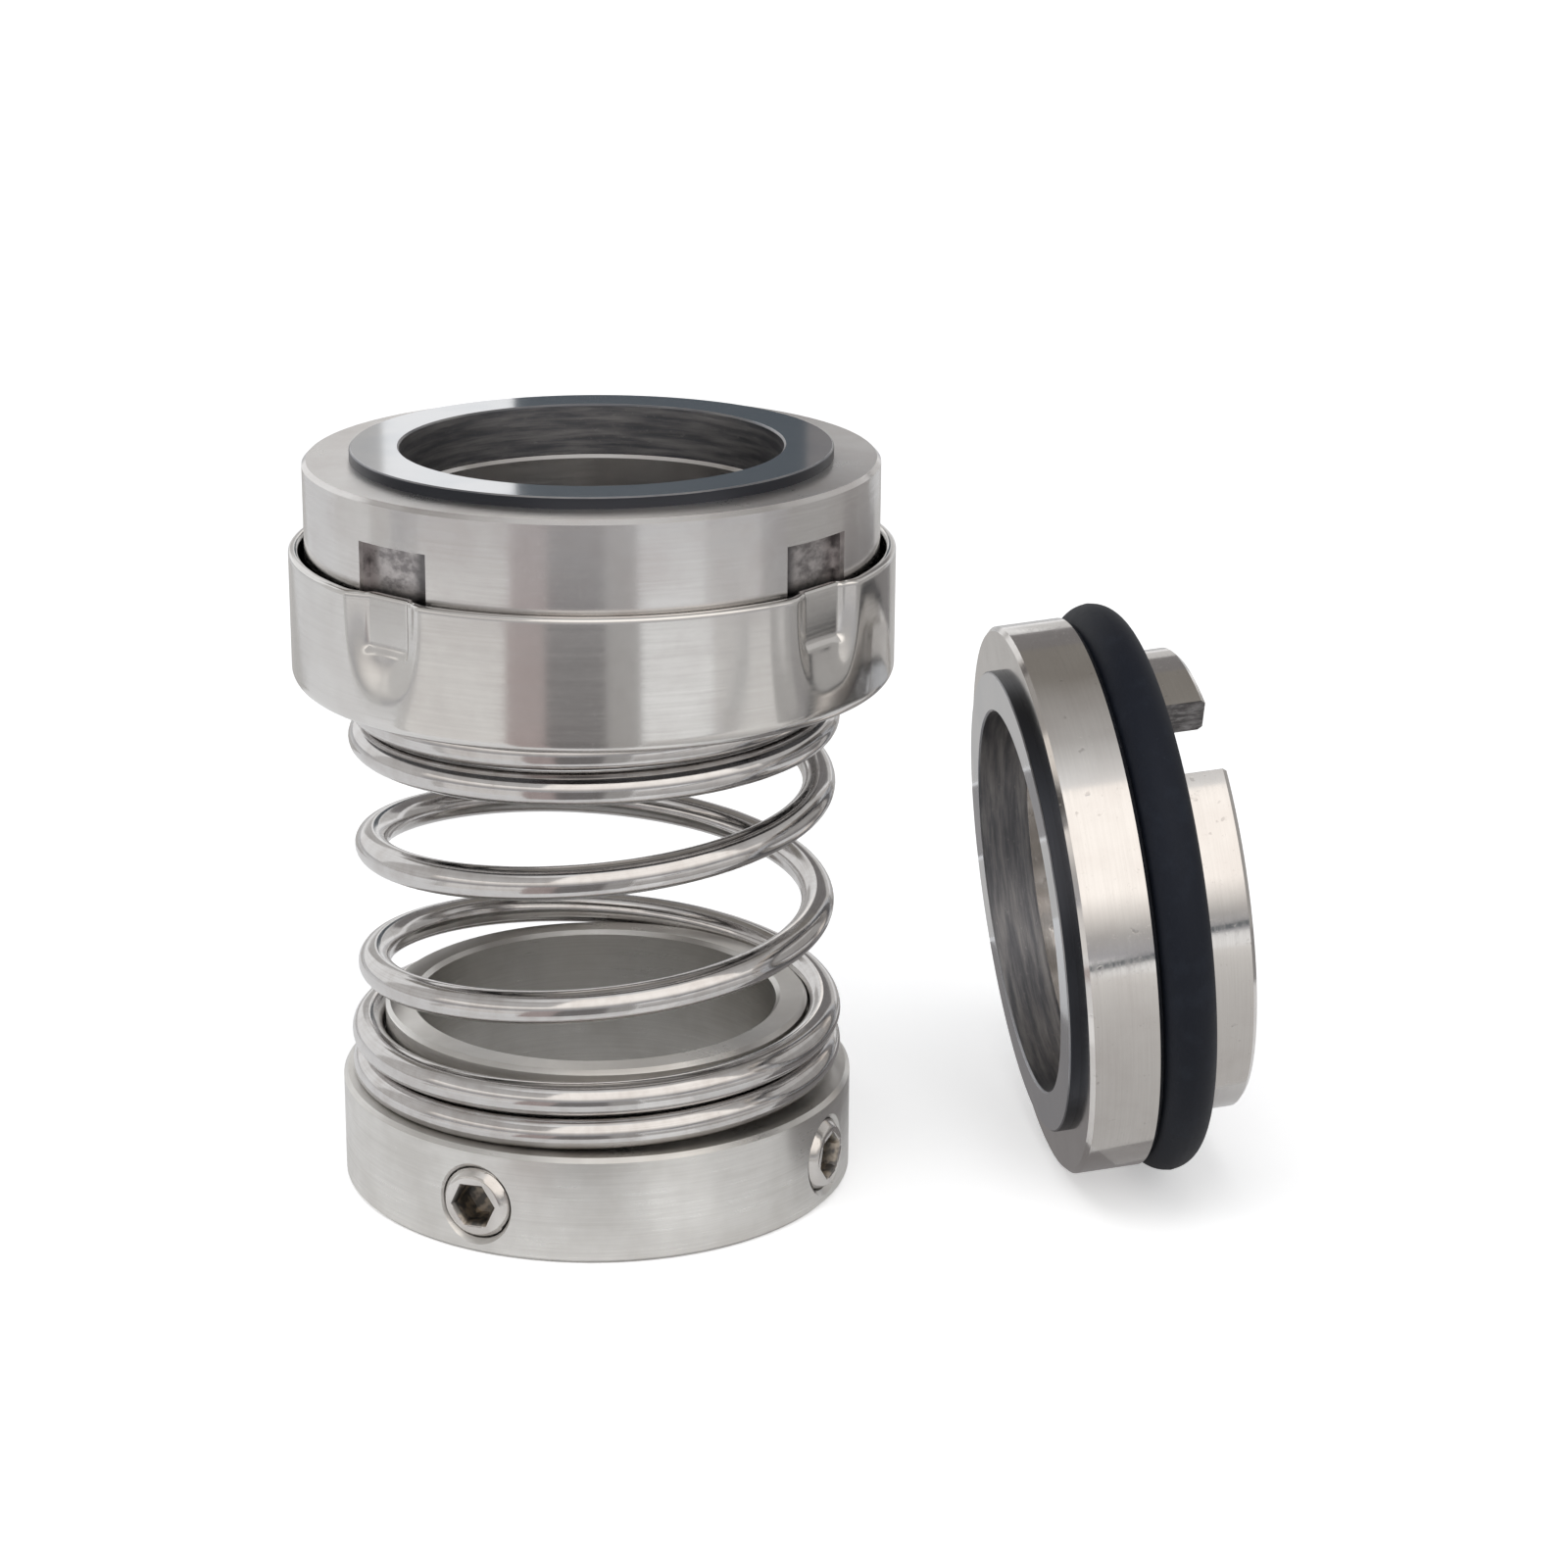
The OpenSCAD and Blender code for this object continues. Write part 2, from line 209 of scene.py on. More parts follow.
class Value:
    """A number or vector socket. Maths on it adds Math nodes to its tree."""

    def __init__(self, tree: bpy.types.NodeTree, socket: bpy.types.NodeSocket) -> None:
        """Wraps a socket of a node in a tree."""
        self.tree = tree
        self.socket = socket

    def maths(self, operation: str, *others: "Value | float") -> "Value":
        """Adds one Math node.

        Args:
            operation: Name of the Math node's operation.
            others: Its inputs after this value, in order.

        Returns:
            The node's result.
        """
        node = self.tree.nodes.new("ShaderNodeMath")
        node.operation = operation
        for place, term in zip(node.inputs, (self, *others)):
            put(place, term)
        return Value(self.tree, node.outputs[0])

    def __add__(self, other: "Value | float") -> "Value":
        """Sum."""
        return self.maths("ADD", other)

    def __sub__(self, other: "Value | float") -> "Value":
        """Difference."""
        return self.maths("SUBTRACT", other)

    def __rsub__(self, other: float) -> "Value":
        """Difference from a number: minus one times this value, plus the number."""
        return self.maths("MULTIPLY_ADD", -1.0, other)

    def __mul__(self, other: "Value | float") -> "Value":
        """Product."""
        return self.maths("MULTIPLY", other)

    __radd__ = __add__
    __rmul__ = __mul__

    def step(self, low: float, high: float) -> "Value":
        """Adds a smooth step.

        Args:
            low: Value at which the step is 0.
            high: Value at which the step is 1. It may be below low, and then the step falls.

        Returns:
            A smooth rise or fall between the two, level outside them.
        """
        node = self.tree.nodes.new("ShaderNodeMapRange")
        node.interpolation_type = "SMOOTHSTEP"
        ends = (min(low, high), max(low, high), float(low > high), float(low < high))
        for place, end in zip(("From Min", "From Max", "To Min", "To Max"), ends):
            put(node.inputs[place], end)
        put(node.inputs["Value"], self)
        return Value(self.tree, node.outputs["Result"])

    def crossing(self, width: float) -> "Value":
        """Thin lines along which a noise crosses its middle: 1 on them, and 0 from the given width away."""
        return (self - 0.5).maths("ABSOLUTE").step(width, 0.0)


class Nodes:
    """The nodes of a material or of the world."""

    # Where a Mix node that mixes colours takes its factor and its two colours, and where it gives its result.
    MIX_INPUTS = (0, 6, 7)
    MIX_RESULT = 2

    def __init__(self, tree: bpy.types.NodeTree) -> None:
        """Takes the tree to add to."""
        self.tree = tree

    def node(self, kind: str, settings: dict[str, Any] | None = None, **sockets: Any) -> bpy.types.Node:
        """Adds a node.

        Args:
            kind: Node type without its ShaderNode prefix.
            settings: Node properties, set first.
            sockets: Values or links by socket name, with _ for a space.

        Returns:
            The node.
        """
        made = self.tree.nodes.new("ShaderNode" + kind)
        for key, setting in (settings or {}).items():
            setattr(made, key, setting)
        for key, value in sockets.items():
            name = key.replace("_", " ")
            put(next(s for s in made.inputs if s.name == name and s.enabled), value)
        return made

    def out(self, node: bpy.types.Node, name: str) -> Value:
        """The enabled output of a node with that name."""
        return Value(self.tree, next(s for s in node.outputs if s.name == name and s.enabled))

    def joined(self, kind: str, *inputs: Any) -> Value:
        """Adds a node that takes its inputs in order, such as a Mix Shader or an Add Shader.

        Args:
            kind: Node type without its ShaderNode prefix.
            inputs: Its inputs from the first.

        Returns:
            The node's first output.
        """
        made = self.node(kind)
        for place, value in zip(made.inputs, inputs):
            put(place, value)
        return Value(self.tree, made.outputs[0])

    def coordinates(self, kind: str) -> Value:
        """Texture coordinates of a kind, such as Object or UV."""
        return self.out(self.node("TexCoord"), kind)

    def ray(self, kind: str) -> Value:
        """1 for rays of a kind, such as Camera or Glossy, and 0 for others."""
        return self.out(self.node("LightPath"), f"Is {kind} Ray")

    def parts(self, vector: Value) -> tuple[Value, ...]:
        """The three numbers of a vector."""
        split = self.node("SeparateXYZ", Vector=vector)
        return tuple(self.out(split, name) for name in "XYZ")

    def vector(self, x: "Value | float", y: "Value | float", z: "Value | float") -> Value:
        """A vector from three numbers."""
        return self.out(self.node("CombineXYZ", X=x, Y=y, Z=z), "Vector")

    def noise(self, vector: Value, scale: float, detail: float = 2.0, roughness: float = 0.5) -> Value:
        """Noise of a vector, from 0 to 1 around 0.5."""
        made = self.node("TexNoise", Vector=vector, Scale=scale, Detail=detail, Roughness=roughness)
        return self.out(made, "Fac")

    def bump(self, height: Value, depth: float) -> Value:
        """The normal of a height from 0 to 1 that stands depth metres tall."""
        return self.out(self.node("Bump", Height=height, Distance=depth, Strength=1.0), "Normal")

    def mix(self, share: "Value | float", first: "Value | Enum | Tone", second: "Value | Enum | Tone") -> Value:
        """Mixes two colours.

        Args:
            share: Share of the second, from 0 to 1.
            first: The colour where the share is 0.
            second: The colour where the share is 1.

        Returns:
            The mixed colour.
        """
        tones = [c.value if isinstance(c, Enum) else c for c in (first, second)]
        colours = [c if isinstance(c, Value) else (*c, 1.0) for c in tones]
        made = self.node("Mix", {"data_type": "RGBA"})
        for place, value in zip(self.MIX_INPUTS, (share, *colours)):
            put(made.inputs[place], value)
        return Value(self.tree, made.outputs[self.MIX_RESULT])


class Shade(Nodes):
    """One material and the nodes that make it."""

    def __init__(self, name: str) -> None:
        """Starts a material with a Principled shader.

        Args:
            name: Name of the material.
        """
        self.material = bpy.data.materials.new(name)
        self.material.use_nodes = True
        super().__init__(self.material.node_tree)
        self.shader = self.tree.nodes["Principled BSDF"]

    def feed(self, **sockets: Any) -> bpy.types.Material:
        """Sets the Principled shader's sockets.

        Args:
            sockets: Values or links by socket name, with _ for a space.

        Returns:
            The material.
        """
        for key, value in sockets.items():
            put(self.shader.inputs[key.replace("_", " ")], value)
        return self.material

    def show(self, result: Value) -> None:
        """Makes a shader the material's surface."""
        put(self.tree.nodes["Material Output"].inputs["Surface"], result)


@dataclass(frozen=True)
class Axis:
    """Where a turned piece's own axis lies: its origin, and the turn that brings the row's Z to it."""

    origin: Point = (0.0, 0.0, 0.0)
    turn: Point = (0.0, 0.0, 0.0)

    def local(self, shade: Shade) -> Value:
        """Object coordinates in millimetres in the piece's own frame, whose Z is its axis.

        Args:
            shade: Material to add the nodes to.

        Returns:
            The coordinates, from a Mapping node that undoes the turn about the origin.
        """
        mapped = shade.node(
            "Mapping", {"vector_type": "TEXTURE"}, Vector=shade.coordinates("Object"),
            Location=Vector(self.origin) * MM, Rotation=Euler(self.turn), Scale=(MM, MM, MM))
        return shade.out(mapped, "Vector")


@dataclass(frozen=True)
class Round:
    """A material's coordinates in millimetres: the place, its three numbers, and its distance from the Z axis."""

    shade: Shade
    place: Value
    x: Value
    y: Value
    z: Value
    r: Value

    @classmethod
    def of(cls, shade: Shade, axis: Axis) -> "Round":
        """Works the coordinates out for a piece with its own axis.

        Args:
            shade: Material to add the nodes to.
            axis: The piece's axis.

        Returns:
            The coordinates. The distance is the root of x squared plus y squared.
        """
        place = axis.local(shade)
        x, y, z = shade.parts(place)
        return cls(shade, place, x, y, z, (x * x + y * y).maths("SQRT"))

    def stretched(self, across: float, along: float) -> Value:
        """The place with x and y times across, and z times along."""
        return self.shade.vector(self.x * across, self.y * across, self.z * along)


# Finishes

class Stain(Enum):
    """Tones that marks and wear bring to the steel, the wire and the carbide, and tones of painted shade and painted
    reflection.
    """

    SCRATCH = (0.95, 0.95, 0.94)
    BRUSHED = (0.40, 0.385, 0.36)
    # Painted shade for a shaded underside.
    PAINTED_UNDER_SHADE = (0.03, 0.03, 0.035)
    PIT = (0.26, 0.24, 0.23)
    # Painted shade inside a screw's socket.
    SOCKET_SHADE = (0.16, 0.155, 0.15)
    SOCKET_WORN = (0.44, 0.39, 0.33)
    POCKET = (0.22, 0.205, 0.21)
    POCKET_BRIGHT = (0.60, 0.57, 0.57)
    # Painted shade along a pocket's sill and side.
    POCKET_PAINTED_SHADE = (0.05, 0.047, 0.053)
    # Painted shade on a slot's walls, mottled between these two tones.
    SLOT_SHADE = (0.09, 0.085, 0.085)
    SLOT_SHADE_PALE = (0.26, 0.25, 0.25)
    FLECK = (0.42, 0.38, 0.34)
    CARBIDE = (0.19, 0.195, 0.215)
    CARBIDE_PALE = (0.38, 0.375, 0.38)
    CARBIDE_SPECK = (0.56, 0.55, 0.56)
    # Painted dark reflection on a carbide ring's outer side.
    CARBIDE_PAINTED_REFLECTION = (0.05, 0.053, 0.062)
    LAPPED = (0.66, 0.67, 0.69)
    LAPPED_HAZE = (0.60, 0.62, 0.65)


@dataclass(frozen=True)
class Coat:
    """A steel finish as it builds up, and the fine grain that scratches break off in."""

    tone: Value
    gloss: Value
    height: Value
    grain: Value


class Mark:
    """Something that changes a turned finish in one place or all over."""

    def lay(self, at: Round, coat: Coat) -> Coat:
        """Gives the finish with this mark on it."""
        raise NotImplementedError


@dataclass(frozen=True)
class Streaks(Mark):
    """Brush streaks that run level round the piece."""

    strength: float
    spread: Span = (0.3, 0.75)
    dulling: float = 0.06

    def lay(self, at: Round, coat: Coat) -> Coat:
        """Lays the streaks.

        Args:
            at: Coordinates of the piece.
            coat: The finish so far.

        Returns:
            The finish, duller and darker by a noise that is long round the piece and fine up it.
        """
        brush = at.shade.noise(at.stretched(0.11, 4.5), 1.0, 4.0, 0.7).step(*self.spread)
        tone = at.shade.mix(brush * self.strength, coat.tone, Stain.BRUSHED)
        return replace(coat, tone=tone, gloss=coat.gloss + brush * self.dulling)


@dataclass(frozen=True)
class DullTop(Mark):
    """An upper face that is turned rougher than the sides below it. Its height is in millimetres."""

    height: float
    dulling: float = 0.13

    def lay(self, at: Round, coat: Coat) -> Coat:
        """Adds the roughness from just under the face's height upwards."""
        return replace(coat, gloss=coat.gloss + at.z.step(self.height - 2 * SEAM, self.height - SEAM) * self.dulling)


@dataclass(frozen=True)
class PaintedUnderShade(Mark):
    """An underside painted dark as the shade that falls there. Its height is in millimetres."""

    height: float
    reach: float = 0.25
    strength: float = 0.9

    def lay(self, at: Round, coat: Coat) -> Coat:
        """Paints shade on the finish from its reach over the underside down to it."""
        # Painted shade: the finish goes near black over the underside, where the gap under the shell is in shade.
        below = at.z.step(self.height + self.reach, self.height + 2 * SEAM)
        return replace(coat, tone=at.shade.mix(below * self.strength, coat.tone, Stain.PAINTED_UNDER_SHADE))


@dataclass(frozen=True)
class Socket(Mark):
    """The inside of a screw's socket, where the piece's UV map has a U of 1: painted shade, with warmer worn patches.
    """

    stain: Span = (0.4, 0.62)
    dulling: float = 0.22

    def lay(self, at: Round, coat: Coat) -> Coat:
        """Lays the socket's own tone.

        Args:
            at: Coordinates of the piece.
            coat: The finish so far.

        Returns:
            The finish with a dark painted shade inside the socket, and worn patches of a warmer tone.
        """
        shade = at.shade
        inside = shade.parts(shade.coordinates("UV"))[0]
        stain = shade.noise(at.place, 1.1, 2.0).step(*self.stain)
        # Painted shade inside the socket's recess, broken by warmer worn patches.
        tone = shade.mix(inside, coat.tone, shade.mix(stain, Stain.SOCKET_SHADE, Stain.SOCKET_WORN))
        return replace(coat, tone=tone, gloss=coat.gloss + inside * self.dulling)


@dataclass(frozen=True)
class Pits(Mark):
    """Small pits and short nicks."""

    strength: float
    pit: Span = (0.68, 0.76)
    nick: Span = (0.54, 0.62)
    nick_width: float = 0.004
    pit_depth: float = 5.0
    nick_depth: float = 3.0

    def lay(self, at: Round, coat: Coat) -> Coat:
        """Lays the pits and nicks.

        Args:
            at: Coordinates of the piece.
            coat: The finish so far.

        Returns:
            The finish, darker and deeper in the peaks of one noise, and along the middle of another that is long
            one way, where the grain lets it through.
        """
        shade = at.shade
        pit = shade.noise(at.place, 1.1, 2.0).step(*self.pit)
        slanted = shade.vector(at.x * 2.2 + at.z * 1.5, at.y * 0.5, at.z * 2.4 - at.x)
        nick = shade.noise(slanted, 0.55, 2.0).crossing(self.nick_width) * coat.grain.step(*self.nick)
        tone = shade.mix((pit + nick).maths("MINIMUM", 1.0) * self.strength, coat.tone, Stain.PIT)
        return replace(coat, tone=tone, height=coat.height - pit * self.pit_depth - nick * self.nick_depth)


@dataclass(frozen=True)
class Pockets(Mark):
    """Rough milled floors of pockets spread evenly round a ring. Sizes in millimetres, the way of one in degrees."""

    low: float
    high: float
    inner: float
    outer: float
    count: int = 4
    way: float = -40.0
    side_painted_shade: Span = (0.8, 2.1)
    sill_painted_shade: Span = (6.5, 5.4)
    painted_shade_strength: float = 0.85
    strength: float = 0.9
    dulling: float = 0.14
    depth: float = 22.0

    def lay(self, at: Round, coat: Coat) -> Coat:
        """Lays the milled floors.

        Args:
            at: Coordinates of the piece.
            coat: The finish so far.

        Returns:
            The finish, mottled and rough between the two heights and the two radii. It is darkest along the sill, and
            along the side nearer -Y, found from the distance round the ring from the middle of the nearest pocket: this
            is painted shade where the pocket's walls shade its floor.
        """
        shade = at.shade
        inside = at.z.step(self.low - SEAM, self.low) * at.z.step(self.high, self.high - SEAM)
        inside = inside * at.r.step(self.inner - SEAM, self.inner) * at.r.step(self.outer, self.outer - SEAM)
        mill = shade.noise(at.stretched(0.7, 1.1), 1.0, 4.0, 0.6)
        floor = shade.mix(mill.step(0.35, 0.65), Stain.POCKET, Stain.POCKET_BRIGHT)
        turn = at.y.maths("ARCTAN2", at.x) * (self.count / TURN) + (0.5 - self.way * self.count / 360.0)
        side = (turn.maths("FRACT") - 0.5) * at.x.maths("SIGN") * (self.inner * TURN / -self.count)
        # Painted shade: the floor darkens along its sill and towards the side nearer -Y, where the pocket's walls shade
        # it.
        edge = side.step(*self.side_painted_shade) + at.z.step(*(self.low + rise for rise in self.sill_painted_shade))
        floor = shade.mix((edge * self.painted_shade_strength).maths("MINIMUM", 1.0), floor, Stain.POCKET_PAINTED_SHADE)
        return replace(
            coat, tone=shade.mix(inside * self.strength, coat.tone, floor),
            gloss=coat.gloss + inside * self.dulling, height=coat.height + inside * mill * self.depth)


@dataclass(frozen=True)
class Slot(Mark):
    """Rough milled walls of a slot across a ring's end, painted dark as shade. Sizes in millimetres, its way in
    degrees.
    """

    way: float
    half: float
    floor: float
    dulling: float = 0.2

    def lay(self, at: Round, coat: Coat) -> Coat:
        """Lays the milled walls.

        Args:
            at: Coordinates of the piece.
            coat: The finish so far.

        Returns:
            The finish, dark and mottled over the floor's height and within half the slot's width of its middle plane:
            painted shade.
        """
        shade, turn = at.shade, math.radians(self.way)
        across = (at.y * math.cos(turn) - at.x * math.sin(turn)).maths("ABSOLUTE")
        inside = across.step(self.half + 3 * SEAM, self.half + SEAM)
        inside = inside * at.z.step(self.floor - 2 * SEAM, self.floor - SEAM)
        mill = shade.noise(at.stretched(2.0, 0.8), 1.0, 4.0, 0.7).step(0.35, 0.7)
        # Painted shade: the slot's walls are painted near black and mottled, in place of the shade they lie in.
        tone = shade.mix(inside, coat.tone, shade.mix(mill, Stain.SLOT_SHADE, Stain.SLOT_SHADE_PALE))
        return replace(coat, tone=tone, gloss=coat.gloss + inside * self.dulling)


@dataclass(frozen=True)
class TurnedSteel:
    """Stainless steel turned or ground round its axis: fine rings, faint blotches, and small scratches.

    The rings are noise of radius and height alone, so they run round the piece on its sides and on its flat faces.
    """

    name: str
    tone: Tone
    shadow: Tone
    gloss: float = 0.2
    gloss_spread: float = 0.1
    ring_pitch: float = 0.08
    ring_depth: float = 0.0006
    stretch: float = 0.0
    axis: Axis = Axis()
    marks: tuple[Mark, ...] = ()
    scratch_width: float = 0.006
    scratch_depth: float = 3.0

    def material(self) -> bpy.types.Material:
        """Builds the finish.

        Returns:
            The material. Its height is ring_depth times the ring noise in millimetres, less the scratches.
        """
        shade = Shade(self.name)
        at = Round.of(shade, self.axis)
        section = shade.vector(at.r, at.z, 0.0)
        rings = shade.noise(section, 1.0 / self.ring_pitch, 3.0, 0.6)
        broad = shade.noise(section, 1.3, 2.0)
        blotch = shade.noise(at.place, 0.22, 3.0, 0.55)
        grain = shade.noise(at.place, 2.6, 4.0, 0.65)
        slanted = shade.vector(at.x * 6.0 + at.y * 4.0, at.y * 0.35 - at.x * 0.5, at.z * 0.8)
        scratch = shade.noise(slanted, 1.1, 1.0).crossing(self.scratch_width) * grain.step(0.56, 0.66)
        tone = shade.mix(blotch.step(0.35, 0.7) * 0.55 + rings * 0.2, self.tone, self.shadow)
        gloss = (blotch - 0.5) * self.gloss_spread + (rings - 0.5) * self.gloss_spread + grain * 0.04 + self.gloss
        coat = Coat(
            tone=shade.mix(scratch * 0.35, tone, Stain.SCRATCH), gloss=gloss,
            height=rings + broad * 1.5 - scratch * self.scratch_depth, grain=grain)
        for mark in self.marks:
            coat = mark.lay(at, coat)
        return shade.feed(
            Base_Color=coat.tone, Metallic=1.0, Roughness=coat.gloss, Anisotropic=self.stretch,
            Anisotropic_Rotation=0.25, Normal=shade.bump(coat.height, self.ring_depth * MM))


@dataclass(frozen=True)
class SpringWire:
    """Polished stainless wire with faint drawing lines along it, from the piece's own UV map."""

    name: str
    tone: Tone
    shadow: Tone
    gloss: float = 0.12
    line_depth: float = 0.0012

    def material(self) -> bpy.types.Material:
        """Builds the finish.

        Returns:
            The material, from noise that is long along the wire and fine round it, blotches and small flecks.
        """
        shade = Shade(self.name)
        along, around, _ = shade.parts(shade.coordinates("UV"))
        drawn = shade.noise(shade.vector(along * 3.0, around * 60.0, 0.0), 1.0, 3.0, 0.6)
        place = Axis().local(shade)
        blotch = shade.noise(place, 0.5, 3.0, 0.6)
        fleck = shade.noise(place, 3.0, 3.0, 0.7).step(0.66, 0.74)
        tone = shade.mix(blotch.step(0.35, 0.75) * 0.6 + drawn.step(0.35, 0.8) * 0.5, self.tone, self.shadow)
        return shade.feed(
            Base_Color=shade.mix(fleck * 0.25, tone, Stain.FLECK), Metallic=1.0,
            Roughness=self.gloss + blotch * 0.06 + fleck * 0.15,
            Normal=shade.bump(drawn + fleck * 0.6, self.line_depth * MM))


@dataclass(frozen=True)
class Carbide:
    """Dark sintered carbide: the sealing face is lapped to a mirror, and the sides are ground and mottled, with a
    painted dark reflection on the outer side.
    """

    name: str
    face_z: float
    facing: float = 1.0
    outer_r: float = 19.32
    axis: Axis = Axis()
    grind_depth: float = 0.02

    def material(self) -> bpy.types.Material:
        """Builds the finish.

        Returns:
            The material. Within a seam or two of the face's height it is a clean mirror, and elsewhere it is mottled,
            with a painted dark reflection on the outer side.
        """
        shade = Shade(self.name)
        at = Round.of(shade, self.axis)
        seam = SEAM * self.facing
        lapped = at.z.step(self.face_z - 2 * seam, self.face_z - seam)
        mottle = shade.noise(at.stretched(0.16, 2.2), 1.0, 5.0, 0.62)
        speck = shade.noise(at.stretched(1.6, 3.4), 1.0, 3.0, 0.7)
        side = shade.mix(mottle.step(0.32, 0.72), Stain.CARBIDE, Stain.CARBIDE_PALE)
        side = shade.mix(speck.step(0.60, 0.74) * 0.3, side, Stain.CARBIDE_SPECK)
        # Painted reflection: the ring's outer side is painted near black, as the dark it mirrors.
        side = shade.mix(at.r.step(self.outer_r - 6 * SEAM, self.outer_r - 3 * SEAM), side, Stain.CARBIDE_PAINTED_REFLECTION)
        haze = shade.noise(at.place, 0.16, 2.0)
        face = shade.mix(haze.step(0.4, 0.7), Stain.LAPPED, Stain.LAPPED_HAZE)
        ground = 1.0 - lapped
        return shade.feed(
            Base_Color=shade.mix(lapped, side, face), Metallic=1.0,
            Roughness=ground * (0.26 + mottle * 0.2) + lapped * (0.05 + haze * 0.03),
            Normal=shade.bump(ground * (mottle + speck * 0.4), self.grind_depth * MM))


@dataclass(frozen=True)
class Rubber:
    """Matt black nitrile with a fine moulded grain, a little dust and a faint sheen."""

    name: str
    tone: Tone
    dust: Tone
    axis: Axis = Axis()
    grain_depth: float = 0.012

    def material(self) -> bpy.types.Material:
        """Builds the finish.

        Returns:
            The material, from fine grain, broad dust and small specks.
        """
        shade = Shade(self.name)
        place = self.axis.local(shade)
        grain = shade.noise(place, 5.0, 3.0, 0.6)
        dust = shade.noise(place, 0.5, 4.0, 0.65)
        speck = shade.noise(place, 3.2, 2.0, 0.5).step(0.70, 0.76)
        return shade.feed(
            Base_Color=shade.mix(dust.step(0.45, 0.75) * 0.5 + speck * 0.5, self.tone, self.dust),
            Roughness=0.52 + dust * 0.16, Specular_IOR_Level=0.24,
            Normal=shade.bump(grain + speck * 0.5, self.grain_depth * MM))


# Seat frame

SEAT_AXIS = Axis(origin=(36.0, 1.1, 22.7720), turn=(0.0, math.radians(90.0 - 6.3191), math.radians(6.4)))


def at_seat(points: np.ndarray) -> np.ndarray:
    """Moves points from the seat's own frame, whose Z is its axis, to where the seat leans.

    Args:
        points: Array whose last side holds x, y and z in millimetres.

    Returns:
        The points turned about Y, then about Z, then moved to the seat's origin.
    """
    turn = np.array(Euler(SEAT_AXIS.turn).to_matrix())
    return points @ turn.T + np.array(SEAT_AXIS.origin)


# Sub-assemblies

